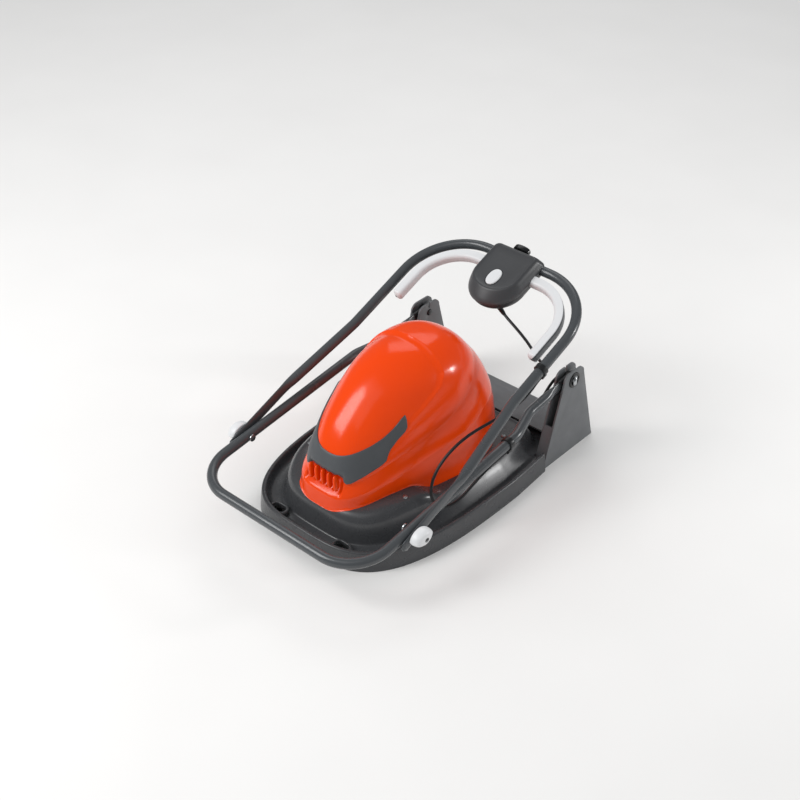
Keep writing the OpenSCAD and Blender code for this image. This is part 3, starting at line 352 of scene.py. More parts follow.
def block(low, high, material):
    """A cutter with flat faces between two corners."""
    corners = np.array([(low[0], low[1]), (high[0], low[1]), (high[0], high[1]), (low[0], high[1])])
    return prism(corners, low[2], high[2], material)


def moulded(name, colour, shade_colour, roughness, grain_mm, relief_mm, mottle_mm=45, ior=1.5):
    """Moulded plastic: a fine grain from the mould, with slow changes of tone and gloss."""
    made, tree, shader, here = new_material(name)
    grain = add(tree, "ShaderNodeTexNoise", {"Vector": here, "Scale": 1 / (grain_mm * MM), "Detail": 3})
    cloud = add(tree, "ShaderNodeTexNoise", {"Vector": here, "Scale": 1 / (mottle_mm * MM), "Detail": 4})
    two_tone(tree, shader, cloud.outputs["Fac"], colour, shade_colour)
    gloss = add(tree, "ShaderNodeMapRange", {
        "Value": cloud.outputs["Fac"], "From Min": 0.3, "From Max": 0.7,
        "To Min": roughness * 0.85, "To Max": roughness * 1.15})
    bump = add(tree, "ShaderNodeBump", {"Height": grain.outputs["Fac"], "Strength": 1.0,
                                        "Distance": relief_mm * MM})
    tree.links.new(gloss.outputs["Result"], shader.inputs["Roughness"])
    tree.links.new(bump.outputs["Normal"], shader.inputs["Normal"])
    shader.inputs["IOR"].default_value = ior
    return made


# Black polypropylene, moulded glossy: it mirrors the lamps in long soft streaks.
deck_plastic = moulded("gloss_black_polypropylene", "#414244", "#38393B", 0.27, 0.9, 0.003)
rings = []
for inset, back, z, share, flank in through(deck_profile, profile_steps):
    ring = deck_ring(inset, back)
    y = ring[:, 1]
    rise = dome_rise(y)
    h = z + share * rise
    beside = smooth((y - flank_front) / flank_rise) * smooth((flank_rear - y) / flank_fall)
    full = trough_h + flank * (dome_h - trough_h + rise)
    rings.append(np.column_stack([ring, h + beside * np.maximum(full - h, 0) * (flank > flank_least)]))


def cap(edge, h):
    """Rings that close the dome's top, from its edge in to its middle."""
    made = []
    for k in np.linspace(1, cap_end, cap_steps)[1:]:
        flat = (edge[:, :2] - [0, deck_mid]) * k + [0, deck_mid]
        made.append(np.column_stack([flat, h + dome_rise(flat[:, 1])]))
    return made


rings = cap(rings[0], deck_profile[0][2])[::-1] + rings + cap(rings[-1], dome_h)
deck = outward(piece("deck_moulding", grid(rings), closed(rings), deck_plastic))
far = 2 * deck_half_w
well_holes = [prism(stadium(well_l / 2, well_r) + [s * well_x, well_y], well_low, 2 * lip_h, deck_plastic)
              for s in (-1, 1)]
a = turn_by(6)
bore = np.stack([spindle_hole * np.cos(a), spindle_hole * np.sin(a) + spindle_y], 1)
cut(deck, block((notch_in, notch_y, notch_low), (far, far, far), deck_plastic),
    block((-far, notch_y, notch_low), (-notch_in, far, far), deck_plastic),
    prism(bore, hole_low, 2 * dome_h, deck_plastic), *well_holes)
fitted(deck, "deck_plastic", "base", "deck", sharp=40)

# Wells: two oval drain wells in the trough at the front, each with a raised round lip.
for side, s in sides:
    rings = []
    for a in turn_by(20):
        out = well_r + lip_gap + lip_r * math.cos(a)
        z = lip_h - lip_r + lip_r * math.sin(a) if math.sin(a) > lip_open else lip_foot
        ring = stadium(well_l / 2, max(out, well_r - lip_in)) + [s * well_x, well_y]
        rings.append(at_height(ring, z))
    lofted(side + "_well_lip", grid, rings, deck_plastic, "deck_plastic", "base", loop=True)

# Hood: a glossy ABS cover over the motor. A proud rear half meets the egg-shaped bonnet in a
# crest, a soft ledge runs down each side, and a mouth with ribs draws in air at the nose.
hood_front, hood_rear, hood_half_w, hood_base, hood_top = 293, 200, 150, 72.3, 347
hood_tail, hood_curl = 2.2, 1.2
hood_shares = [
    (0.00, 1.00, 1.00, 1.00, 10.0, 4.0, 0.48), (0.28, 0.94, 0.95, 0.95, 8.0, 3.2, 0.45),
    (0.43, 0.88, 0.89, 0.91, 5.0, 2.8, 0.40), (0.58, 0.79, 0.80, 0.85, 3.6, 2.6, 0.34),
    (0.72, 0.67, 0.69, 0.76, 2.9, 2.4, 0.26), (0.83, 0.55, 0.57, 0.65, 2.5, 2.2, 0.18),
    (0.92, 0.40, 0.43, 0.49, 2.2, 2.1, 0.10), (0.98, 0.25, 0.27, 0.31, 2.0, 2.0, 0.05),
    (1.00, 0.08, 0.09, 0.11, 2.0, 2.0, 0.00)]
hood_rows, row_rise, hood_wall = 19, 0.6, 2.8
crown_steps, crown_rise, crown_tip, waist_h = 16, 1.4, 0.15, 200
shoulder_y, shoulder_r, shoulder_lap = -546, 20, 1
crest_zs = [215, 223, 240, 263, 285, 304, 322]
crest_ys = [-412, -404, -392, -351, -307, -289, -286]
crest_fades = [0, 0.15, 0.3, 0.45, 0.75, 1, 1]
crest_proud, crest_cove, crest_run, crest_fall_rear, crest_fall_front = 2.6, 3.0, 15, 60, 35
ledge_ys = [-560, -532, -459, -415, -368, -309, -257, -220, -189, -120]
ledge_tops = [128, 138, 166, 178, 192, 211, 236, 255, 270, 290]
ledge_feet = [108, 116, 132, 143, 152, 164, 176, 184, 190, 200]
ledge_in, ledge_out, ledge_fall_up, ledge_fall_down, ledge_end, ledge_run = 3.0, 4.0, 45, 30, -100, 60
mouth_half, mouth_low, mouth_floor, mouth_top, mouth_deep = 50, 111, 125, 165, 12
mouth_lintel, mouth_jamb, mouth_rear = 26, 7, -480


def hood_ring(shares):
    share, front, rear, half, nose, side, narrow = shares
    even = np.concatenate([np.linspace(0, 0.04, 5), np.linspace(0.045, 0.2, 26),
                           np.linspace(0.22, 1, 36)])
    u, w = nose_shares(nose, side, even[:-1], np.linspace(0, 1, 46))
    y = -hood_front * front * u + spindle_y
    x = hood_half_w * half * w * (1 - narrow * u ** hood_curl)
    tail = np.radians(np.linspace(90, 0, 40, endpoint=False))
    ty = hood_rear * rear * np.sin(tail) ** (2 / hood_tail) + spindle_y
    tx = hood_half_w * half * np.cos(tail) ** (2 / hood_tail)
    right = np.stack([np.concatenate([tx, x]), np.concatenate([ty, y])], 1)
    whole = np.concatenate([right, right[-2:0:-1] * [-1, 1]])
    return at_height(whole, hood_base + (hood_top - hood_base) * share)


rows = [hood_ring(s) for s in through(hood_shares, hood_rows)]
crown = rows[-1].mean(0)
rows += [crown + (rows[-1] - crown) * k + [0, 0, crown_rise * (1 - k * k)]
         for k in np.linspace(0.94, 0.03, crown_steps)]
rows = np.array(rows)
normal = np.cross(np.gradient(rows, axis=1), np.gradient(rows, axis=0))
normal /= np.maximum(np.linalg.norm(normal, axis=2, keepdims=True), 1e-9)
x, y, z = rows[..., 0], rows[..., 1], rows[..., 2]
centred = np.stack([x, y - spindle_y, np.maximum(z - waist_h, 0)], 2)
normal *= np.sign((normal * centred).sum(2, keepdims=True))
behind = y - np.interp(z, crest_zs, crest_ys)
drop = 1 - (1 - np.clip(-behind / crest_run, 0, 1)) ** 2
crest = np.interp(z, crest_zs, crest_fades) * np.where(
    behind > 0, crest_proud * np.exp(-np.maximum(behind, 0) / crest_fall_rear),
    (crest_proud - (crest_proud + crest_cove) * drop)
    * np.exp(np.minimum(behind + crest_run, 0) / crest_fall_front))
top_line, foot_line = np.interp(y, ledge_ys, ledge_tops), np.interp(y, ledge_ys, ledge_feet)
over, under = z - top_line, foot_line - z
across = np.clip((z - foot_line) / (top_line - foot_line), 0, 1)
ledge = np.where(over > 0, -ledge_in * np.exp(-over / ledge_fall_up), np.where(
    under > 0, ledge_out * np.exp(-under / ledge_fall_down), ledge_out - (ledge_in + ledge_out) * across))
ledge *= smooth((ledge_end - y) / ledge_run)
mouth = smooth((z - mouth_low) / (mouth_floor - mouth_low)) * smooth((mouth_top - z) / mouth_lintel)
mouth *= mouth_deep * smooth((mouth_half - np.abs(x)) / mouth_jamb) * (y < mouth_rear)
rows = rows + normal * (crest + ledge)[..., None]
rows[..., 1] += mouth
down = np.clip(shoulder_y - rows[0, :, 1], 0, shoulder_r - 0.1)
drop = shoulder_r - np.sqrt(shoulder_r ** 2 - down ** 2)
rows[0, :, 2] = dome_h + dome_rise(rows[0, :, 1]) - drop - shoulder_lap
for k in range(1, hood_rows):
    rows[k, :, 2] = np.maximum(rows[k, :, 2], rows[0, :, 2] + k * row_rise)
n = rows.shape[1]

# Gloss ABS, coloured right through: a smooth skin with a faint ripple, so lamps read sharply.
hood_plastic = moulded("gloss_orange_abs", "#E64300", "#DF3D00", 0.19, 6, 0.004, 90, 1.42)
crown = np.append(rows[-1].mean(0)[:2], rows[-1][:, 2].max() + crown_tip)
hood_points = np.concatenate([grid(rows), grid([crown[None]])])
count = rows.shape[0] * n
hood_faces = loft(rows) + [(count - n + i, count - n + (i + 1) % n, count) for i in range(n)]
hood = outward(piece("hood_cover", hood_points, hood_faces, hood_plastic))
wall = hood.modifiers.new("wall", "SOLIDIFY")
wall.thickness, wall.offset = hood_wall * MM, -1
hood_tree = BVHTree.FromPolygons([Vector(p) for p in hood_points], hood_faces)
settle(hood)
fitted(hood, "hood_plastic", "base", "motor_hood", sharp=55)

# Intake ribs: five upright ribs moulded across the mouth, one shape repeated along its width.
rib_n, rib_pitch, rib_half_w, rib_half_h, rib_half_d = 5, 17, 3.6, 16, 7
rib_mid = (0, -545, 139)
rib_turn = (math.radians(-16), math.radians(-20), 0)


def repeat_on(name, source, places, turns, material, body, slot, *nodes):
    """Geometry Nodes: one copy of a small mesh at each place, turned, as a plain mesh."""
    mesh = bpy.data.meshes.new(name)
    mesh.from_pydata([tuple(p) for p in places], [], [])
    turned = mesh.attributes.new("turn", "FLOAT_VECTOR", "POINT")
    turned.data.foreach_set("vector", [v for t in turns for v in t])
    holder = linked(name, mesh)
    tree = bpy.data.node_groups.new(name + "_rule", "GeometryNodeTree")
    socket = tree.interface.new_socket
    socket("Geometry", in_out="INPUT", socket_type="NodeSocketGeometry")
    shape = socket("Shape", in_out="INPUT", socket_type="NodeSocketObject")
    skin = socket("Finish", in_out="INPUT", socket_type="NodeSocketMaterial")
    socket("Geometry", in_out="OUTPUT", socket_type="NodeSocketGeometry")
    entry = add(tree, "NodeGroupInput", {})
    one = add(tree, "GeometryNodeObjectInfo", {"Object": entry.outputs["Shape"]})
    way = add(tree, "GeometryNodeInputNamedAttribute", {"Name": "turn"}, data_type="FLOAT_VECTOR")
    spread = add(tree, "GeometryNodeInstanceOnPoints", {
        "Points": entry.outputs["Geometry"], "Instance": one.outputs["Geometry"],
        "Rotation": way.outputs["Attribute"]})
    solid = add(tree, "GeometryNodeRealizeInstances", {"Geometry": spread.outputs["Instances"]})
    dressed = add(tree, "GeometryNodeSetMaterial", {"Geometry": solid.outputs["Geometry"],
                                                    "Material": entry.outputs["Finish"]})
    add(tree, "NodeGroupOutput", {"Geometry": dressed.outputs["Geometry"]})
    rule = holder.modifiers.new("rule", "NODES")
    rule.node_group = tree
    rule[shape.identifier] = source
    rule[skin.identifier] = material
    settle(holder)
    fitted(holder, slot, body, *nodes)


def signed(value, power):
    """A value raised to a power, with its sign kept."""
    return np.sign(value) * np.abs(value) ** power


def rounded_bar(name, half, power, material):
    """A bar with rounded sides and ends, centred on the origin."""
    a = turn_by(18)
    flat = np.stack([signed(np.cos(a), 2 / power), signed(np.sin(a), 2 / power)], 1)
    rings = []
    for b in np.radians(np.linspace(-86, 86, 13)):
        level = half[2] * signed(math.sin(b), 2 / power)
        rings.append(at_height(flat * math.cos(b) ** (2 / power) * half[:2], level))
    return outward(piece(name, np.concatenate(rings) * MM, closed(rings), material))


rib = rounded_bar("rib_shape", (rib_half_w, rib_half_d, rib_half_h), 3, hood_plastic)
places = [spot(rib_mid[0] + (k - (rib_n - 1) / 2) * rib_pitch, *rib_mid[1:]) for k in range(rib_n)]
repeat_on("intake_ribs", rib, places, [rib_turn] * rib_n, hood_plastic, "base", "hood_plastic")
bpy.data.objects.remove(rib)

# Hood trim: a grey band snapped round the nose. Its top edge bounds the bonnet, its lower
# edge is toothed over the intake, and its ends sweep back and up the sides.
trim_hub = (0, -400)
trim_top = [(0, 190), (8, 191), (15, 194), (23, 199), (32, 206), (41, 212.5), (55, 223), (71, 237),
            (84, 251), (90, 256)]
trim_foot = [(0, 152), (16, 152), (18, 148), (21.5, 141), (25, 143), (31, 151), (41, 162), (52, 171),
             (57, 177), (60, 190), (63, 198), (72, 212), (84, 224), (88, 232), (90, 245)]
trim_cols, trim_rows, trim_proud, trim_sunk, trim_reach = 240, 16, 2.6, 1.2, 300
trim_end, tip_edge, tip_taper = 90.5, 89.9, 3
tooth_n, tooth_deep, tooth_half = 5, 4, 17


def on_hood(angle, z):
    """Where a level line from the trim's hub meets the hood, and the way out of it there."""
    a = math.radians(angle)
    start = spot(*trim_hub, z)
    away = Vector((math.sin(a), -math.cos(a), 0))
    hit, normal, _, _ = hood_tree.ray_cast(start + away * trim_reach * MM, -away)
    return np.array(hit), np.array(normal if normal.dot(start - hit) < 0 else -normal)


rings = []
for angle in np.linspace(-90, 90, trim_cols + 1):
    a = abs(angle)
    low, high = np.interp(a, *zip(*trim_foot)), np.interp(a, *zip(*trim_top))
    if a < tooth_half:
        low += tooth_deep * (0.5 + 0.5 * math.cos(math.pi * angle / tooth_half * tooth_n))
    outer, inner = [], []
    for t in np.linspace(0, 1, trim_rows + 1):
        place, normal = on_hood(angle, low + (high - low) * (0.5 - 0.5 * math.cos(math.pi * t)))
        edge = max(1 - abs(2 * t - 1) ** 5 * (a < tip_edge), 0) * min(1, (trim_end - a) / tip_taper)
        outer.append(place + normal * trim_proud * edge ** 0.5 * MM)
        inner.append(place - normal * trim_sunk * MM)
    rings.append(np.array(outer + inner[::-1]))
# Dark grey ABS with a spark-eroded texture: dull, with a fine even grain.
trim_plastic = moulded("textured_grey_abs", "#4A4D50", "#434649", 0.42, 0.8, 0.02)
lofted("hood_trim_band", np.concatenate, rings, trim_plastic, "trim_plastic", "base", "hood_trim",
       sharp=50)

# Brackets and rear panel: plates of grey polypropylene with softened edges, screwed to the
# deck's rear. The brackets hold the pivot bolts of the handle.


def softened(name, node, width_mm, material, body, slot):
    """A copy of a CAD node with its edges rounded, that stands for the node."""
    made = linked(name, frame["nodes"][node].data.copy())
    bm = bmesh.new()
    bm.from_mesh(made.data)
    bmesh.ops.remove_doubles(bm, verts=bm.verts, dist=2e-6)
    bmesh.ops.dissolve_limit(bm, angle_limit=math.radians(1), verts=bm.verts, edges=bm.edges)
    edges = [e for e in bm.edges if e.is_manifold and e.calc_face_angle(0) > math.radians(35)]
    bmesh.ops.bevel(bm, geom=edges, offset=width_mm * MM, segments=3, profile=0.5, affect="EDGES",
                    clamp_overlap=True)
    bm.to_mesh(made.data)
    bm.free()
    made.data.materials.clear()
    made.data.materials.append(material)
    fitted(made, slot, body, node, sharp=30)


# Grey polypropylene from a fine-grained mould: flat and even, with a soft sheen.
panel_plastic = moulded("grained_grey_polypropylene", "#636567", "#5B5D5F", 0.45, 1.1, 0.02)
for side in ("left", "right"):
    softened(side + "_bracket_plates", side + "_bracket", 1.0, panel_plastic, "base", "panel_plastic")
softened("rear_cover_panel", "rear_panel", 1.2, panel_plastic, "base", "panel_plastic")

# Pivots: black nylon washers either side of the handle's lugs, zinc-plated bolts whose domed
# heads have a cross recess and sit on a black ring, and caps over the bolts' ends.
spangle_mm = 2.5
bright_steel, tree, shader, here = new_material("zinc_plated_steel")
spangle = add(tree, "ShaderNodeTexNoise", {"Vector": here, "Scale": 1 / (spangle_mm * MM), "Detail": 3})
metal(tree, shader, spangle.outputs["Fac"], "#C9CCCE", "#A9ADB0", 0.2, 0.42)
black_plastic = moulded("black_nylon", "#1C1D1F", "#161718", 0.35, 0.9, 0.012)
softened("pivot_washer_set", "pivot_washers", 0.5, black_plastic, "lower_handle", "black_plastic")
cheek_x, bracket_half_w = 191, 217
cap_profile = [(0.1, 7.5), (-1.6, 7.5), (-3.0, 6.4), (-3.6, 3.6), (-3.7, 0.1)]
seal_profile = [(0.05, 12), (0.05, 18), (1.6, 18), (2.6, 17), (2.8, 15), (2.8, 12)]
cross_deep = 0.5
pivot_h = pivot.z / MM
a = turn_by(12)
for side, s in sides:
    for name, start, profile, loop in (("_pivot_cap", cheek_x, cap_profile, False),
                                       ("_pivot_ring", bracket_half_w, seal_profile, True)):
        rings = [np.stack([np.full(len(a), s * (start + h)), r * np.cos(a), pivot_h + r * np.sin(a)], 1)
                 for h, r in profile]
        lofted(side + name, grid, rings, black_plastic, "black_plastic", "base", loop=loop, sharp=40)


def turned_screw(name, profile, recess):
    """A screw turned from a profile of radii and heights, with a cross sunk in its head."""
    a = turn_by(10)
    rings = []
    for r, h in profile:
        wave = r * (1 + (cross_deep * np.cos(4 * a) if r <= recess and h > 0 else 0 * a))
        rings.append(at_height(np.stack([wave * np.cos(a), wave * np.sin(a)], 1), h))
    made = outward(piece(name, np.concatenate(rings) * MM, closed(rings), bright_steel))
    shade(made, 35)
    return made


pivot_recess, pivot_shank_r, pivot_shank_l = 5.2, 4.8, 25
pivot_screw = turned_screw("pivot_screw_shape", [
    (0.05, 2.6), (4.4, 2.8), (pivot_recess, 5.9), (8.6, 5.6), (11, 4.5), (12.3, 2.6), (12.6, 0),
    (pivot_shank_r, -0.05), (pivot_shank_r, -pivot_shank_l), (0.05, -pivot_shank_l)], pivot_recess)
repeat_on("pivot_bolt_pair", pivot_screw, [spot(s * bracket_half_w, 0, pivot_h) for s in (-1, 1)],
          [(0, s * math.pi / 2, 0.5) for s in (-1, 1)], bright_steel, "base", "bright_steel",
          "pivot_bolts")
bpy.data.objects.remove(pivot_screw)

# Screws: pan-head screws, zinc plated, that hold the deck to the hood and the panel to the
# deck. One head is turned on a lathe and repeated.
head_r, head_h, shank_r, shank_l, recess = 5, 3, 2, 14, 2
deck_screw_ys, panel_screw_ys = (-450, -130), (6, 40)
head_gap, turn_first, turn_more = 0.3, 0.4, 0.7
screw = turned_screw("screw_shape", [
    (0.05, 1.3), (1.7, 1.4), (recess, 2.8), (3.4, 2.75), (4.4, 2.2), (4.9, 1.1), (head_r, 0),
    (shank_r, -0.05), (shank_r, -shank_l), (0.05, -shank_l)], recess)
deck_seat = dome_h + head_gap
panel_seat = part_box("panel_screws")[1].z / MM - head_h
for name, node, ys, zs in (
        ("deck_screw_heads", "deck_screws", deck_screw_ys, (deck_seat + rise_h, deck_seat)),
        ("panel_screw_heads", "panel_screws", panel_screw_ys, (panel_seat, panel_seat))):
    screw_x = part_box(node)[1].x / MM - head_r
    places = [spot(s * screw_x, y, z) for s in (-1, 1) for y, z in zip(ys, zs)]
    turns = [(0, 0, turn_first + turn_more * k) for k in range(len(places))]
    repeat_on(name, screw, places, turns, bright_steel, "base", "bright_steel", node)
bpy.data.objects.remove(screw)

# Motor and rotor, hidden in the hood: cast aluminium case, laminated core, wound coils and a
# steel armature that carries the impeller and the blade below the deck.
alloy = moulded("cast_aluminium", "#B9BCBE", "#A7AAAD", 0.42, 1.5, 0.03)
alloy.node_tree.nodes["Principled BSDF"].inputs["Metallic"].default_value = 1


def layered(name, pitch_mm, uneven, colour, other, roughness):
    """Metal in even layers across Z, such as sheets or turns of wire."""
    made, tree, shader, here = new_material(name)
    bands = add(tree, "ShaderNodeTexWave", {"Vector": here, "Scale": 1 / (20 * pitch_mm * MM),
                                            "Distortion": uneven}, bands_direction="Z")
    metal(tree, shader, bands.outputs["Fac"], colour, other, roughness, roughness)
    return made


def dress(material, *nodes):
    """A CAD node keeps its shape and takes a finish."""
    for name in nodes:
        frame["nodes"][name].data.materials.clear()
        frame["nodes"][name].data.materials.append(material)


dress(alloy, "motor_plate", "motor_can")
dress(layered("laminated_core_steel", 1.5, 0, "#77797C", "#5C5E61", 0.4), "stator_core", "armature")
dress(layered("enamelled_copper_wire", 1.2, 0.6, "#B5652B", "#8A451A", 0.3), "field_coils",
      "brush_holders")
dress(bright_steel, "lower_bearing", "upper_bearing", "plate_screws", "blade_washer", "blade_bolt")
dress(moulded("glass_filled_nylon", "#303337", "#272A2D", 0.5, 0.7, 0.03), "impeller")
dress(moulded("orange_polypropylene", "#D7822B", "#C97522", 0.4, 0.9, 0.015), "blade_spacer")

# Cutting blade: a ground steel bar, with fine scratches along its length from the grinder.
scratch_mm, scratch_fine = 30, 30
blade_steel, tree, shader, here = new_material("ground_blade_steel")
drawn = add(tree, "ShaderNodeMapping", {"Vector": here, "Scale": (1, scratch_fine, scratch_fine)})
scratch = add(tree, "ShaderNodeTexNoise", {"Vector": drawn.outputs["Vector"],
                                           "Scale": 1 / (scratch_mm * MM), "Detail": 4})
metal(tree, shader, scratch.outputs["Fac"], "#A9ACAF", "#83868A", 0.2, 0.5)
softened("ground_blade", "cutting_blade", 0.6, blade_steel, "rotor", "blade_steel")

# Lower handle: a U of steel tube, flattened to lugs at the pivots and joggled out ahead of
# the brackets. Powder coated in dark grey.
tube_r, bend_step, straight_step = 11, 4, 8
knob_pin = Vector(joints["upper_fold"]["pos_m"])
low_tilt = math.atan2(pivot.z - knob_pin.z, pivot.y - knob_pin.y)
knob_reach = (pivot - knob_pin).length / MM
low_len, low_half_w, low_bend, lug_x = 697, 226, 88, 204
lug_l, lug_half_t, lug_half_h, lug_ease = 46, 4.5, 12.8, 40
joggle_start, joggle_turn, joggle_bend = 130, 17, 60
tube_n = 28


def route(start, steps):
    """Places along straights and arcs in the handle's plane, from a start that looks to -Y."""
    made, at, heading = [np.array(start, float)], np.array(start, float), 0.0
    for straight, turn, r in steps:
        count = max(1, int(straight // straight_step))
        for _ in range(count):
            at = at - np.array([math.sin(heading), math.cos(heading)]) * straight / count
            made.append(at)
        count = max(1, int(abs(turn) // bend_step)) if turn else 0
        for _ in range(count):
            half = math.radians(turn) / count / 2
            heading += half
            at = at - np.array([math.sin(heading), math.cos(heading)]) * 2 * r * abs(math.sin(half))
            heading += half
            made.append(at)
    return np.array(made)


def along(line):
    """The way ahead at each place of a line, and the distance gone."""
    ahead = np.gradient(line, axis=0)
    ahead /= np.linalg.norm(ahead, axis=1, keepdims=True)
    return ahead, np.concatenate([[0], np.cumsum(np.linalg.norm(np.diff(line, axis=0), axis=1))])


def whole(half):
    """A handle's whole line from its right half, and the distance from the nearer end."""
    line = np.concatenate([half, half[-2::-1] * [-1, 1]])
    gone = along(line)[1]
    return line, np.minimum(gone, gone[-1] - gone)


def tube(line, sizes, power=2.0):
    """Rings across a line in a plane: half sizes in the plane and across it for each place."""
    a = np.radians(np.linspace(0, 360, tube_n, endpoint=False))
    c, s = signed(np.cos(a), 2 / power), signed(np.sin(a), 2 / power)
    return [np.column_stack([p[0] + w * c * -t[1], p[1] + w * c * t[0], h * s])
            for p, t, (w, h) in zip(line, along(line)[0], sizes)]


def flattened(distance, flat_l, ease_l, half_t, half_h, round_l):
    """Half sizes of a tube whose end is pressed flat and rounded off."""
    t = smooth((distance - flat_l) / ease_l)
    end = np.clip(distance / round_l, 0.02, 1)
    tip = np.sqrt(1 - (1 - end) ** 2)
    return np.stack([half_t + (tube_r - half_t) * t, (half_h + (tube_r - half_h) * t) * tip], 1)


def tilted(rows, tilt, pin):
    """From a handle's own plane to metres: it is tilted about a pin."""
    c, s = math.cos(tilt), math.sin(tilt)
    x, y, z = np.concatenate(rows).T
    return np.stack([x, y * c - z * s, y * s + z * c], 1) * MM + [0, pin.y, pin.z]


def lower_place(rows):
    """From the lower handle's own plane to metres: Y runs back to the pivot bolts."""
    return tilted(rows, low_tilt, pivot)


def sidestep(shift, degrees, r):
    """The straight between two bends that shift a tube sideways, and the length that all take."""
    turn = math.radians(degrees)
    run = (shift - 2 * r * (1 - math.cos(turn))) / math.sin(turn)
    return run, run * math.cos(turn) + 2 * r * math.sin(turn)


joggle_run, joggle_l = sidestep(low_half_w - lug_x, joggle_turn, joggle_bend)
half = route((lug_x, lug_half_h), [(lug_half_h + joggle_start, -joggle_turn, joggle_bend),
                                   (joggle_run, joggle_turn, joggle_bend),
                                   (low_len - low_bend - joggle_start - joggle_l, 90, low_bend),
                                   (low_half_w - low_bend, 0, 0)])
line, distance = whole(half)
# Powder-coated steel: an even dark grey with a fine orange-peel skin and a satin shine.
tube_paint = moulded("powder_coated_steel", "#484B4D", "#414447", 0.25, 1.6, 0.006)
rings = tube(line, flattened(distance, lug_l + lug_half_h, lug_ease, lug_half_t, lug_half_h, lug_half_h))
lofted("lower_handle_tube", lower_place, rings, tube_paint, "tube_paint", "lower_handle", "lower_handle")

# Lug sleeves: black nylon shells over the flat ends of the lower handle, which run between
# the bracket's cheeks; their black is painted shade for the dark gap between the cheeks.
sleeve_l, sleeve_half_t, sleeve_half_h, sleeve_past, sleeve_power = 58, 6.6, 14.6, 2, 3.5
count = int(np.searchsorted(distance[:len(half)], sleeve_l))
for side, s in sides:
    end = np.clip((distance[:count] + sleeve_past) / sleeve_half_h, 0.1, 1)
    tall = sleeve_half_h * np.sqrt(1 - (1 - end) ** 2)
    rings = tube(line[:count] * [s, 1], np.stack([np.full(count, sleeve_half_t), tall], 1), sleeve_power)
    # Painted shade: the sleeves' black stands for the shade in the gap between the cheeks.
    lofted(side + "_lug_sleeve", lower_place, rings, black_plastic, "black_plastic", "lower_handle",
           sharp=50)

# Upper handle: a loop of the same tube. Its legs are pressed flat where the clamp bolts pass
# outside the lower handle.
up_axis = -Vector(joints["button_press"]["axis"])
up_tilt = math.atan2(-up_axis.y, up_axis.z)
up_len, up_tail, loop_bend, loop_half_w = 660, 43, 138, 220
leg_half_t, leg_half_h, leg_flat_l, leg_ease, leg_round, leg_gap = 4, 13, 112, 60, 2, 0.3
up_half_w = low_half_w + tube_r + leg_gap + leg_half_t
ease_start, ease_turn, ease_bend = 140, 6, 60


def upper_place(rows):
    """From the upper handle's own plane to metres: Y runs from the clamp bolts to the loop."""
    return tilted(rows, up_tilt, knob_pin)


ease_run, ease_l = sidestep(up_half_w - loop_half_w, ease_turn, ease_bend)
half = route((up_half_w, up_tail), [(up_tail + ease_start, ease_turn, ease_bend),
                                    (ease_run, -ease_turn, ease_bend),
                                    (up_len - loop_bend - ease_start - ease_l, 90, loop_bend),
                                    (loop_half_w - loop_bend, 0, 0)]) * [1, -1]
line, distance = whole(half)
rings = tube(line, flattened(distance, up_tail + leg_flat_l, leg_ease, leg_half_t, leg_half_h, leg_round))
lofted("upper_handle_tube", upper_place, rings, tube_paint, "tube_paint", "upper_handle", "upper_handle")

# Clamp bolts and knobs: a carriage bolt through both tubes, and a white ABS knob with a domed
# and faceted grip. The bolt's end shows in a small hole in the knob; a shallow black cup in that
# hole is painted shade for its dark inside.
softened("clamp_bolt_pair", "clamp_bolts", 0.8, bright_steel, "lower_handle", "bright_steel")
white_plastic = moulded("satin_white_abs", "#D8D9DA", "#D0D1D2", 0.36, 0.9, 0.012)
knob_half_l, knob_half_w, knob_end, knob_flank = 26, 17, 0.95, 1.4
knob_rings = [(0, 0.90), (1.5, 0.96), (6, 1.0), (12, 0.985), (16, 0.93), (19.5, 0.82), (22, 0.66),
              (23.4, 0.42), (23.9, 0.22), (23.2, 0.2), (20, 0.18)]
facet_n, facet_deep, facet_low, facet_run = 8, 0.018, 10, 6
hole_shade_cup_rings = [(23.4, 5), (24.2, 5), (24.2, 4.2), (22.6, 3.8), (22.6, 0.05)]
a = turn_by(6)
for side, s in sides:
    turned = side + "_knob"
    low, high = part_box(turned)
    seat = (low.x if s > 0 else high.x) / MM
    rings = []
    for h, k in through(knob_rings, profile_steps):
        size = k * (1 + facet_deep * np.cos(facet_n * a) * smooth((h - facet_low) / facet_run))
        rings.append(np.stack([np.full(len(a), seat + s * h),
                               knob_half_l * size * signed(np.cos(a), knob_end) - knob_reach,
                               knob_half_w * size * signed(np.sin(a), knob_flank)], 1))
    lofted(turned + "_grip", lower_place, rings, white_plastic, "white_plastic", turned, turned, sharp=24)
    # Painted shade: a shallow black cup in the knob's hole stands for the dark inside of the hole.
    rings = [np.stack([np.full(len(a), seat + s * h), r * np.cos(a) - knob_reach, r * np.sin(a)], 1)
             for h, r in hole_shade_cup_rings]
    lofted(turned + "_bush", lower_place, rings, black_plastic, "black_plastic", turned, sharp=30)

# Switch box: two textured ABS shells that close on the loop's bar. The top slopes from a flat
# round the button to a rim; the base is tucked under it.
box_half_w, box_front, box_rear, box_nose, box_corner = 66, 141, 14, 70, 12
box_top = [(5.6, 1.2, 1.2), (6.4, 0.3, 0.3), (8.5, 0, 0), (12, 0.8, 1.5), (16, 2.4, 5), (20, 4.2, 9.5),
           (25, 6.4, 15.5), (29.4, 9, 21), (32.0, 11.5, 24.5), (32.8, 14, 28), (32.0, 17, 31.5),
           (31.5, 21, 36)]
box_base = [(5.3, 3.4, 3.4), (0, 3.2, 3.4), (-6, 3.6, 4.6), (-12, 5.4, 8), (-16, 8, 12), (-19.5, 13, 18),
            (-21, 20, 26)]
box_mid = np.array([0, up_len - 60])
box_steps, box_crown, box_lap, box_lid_shares = 4, 0.5, 0.94, (0.7, 0.4, 0.12)


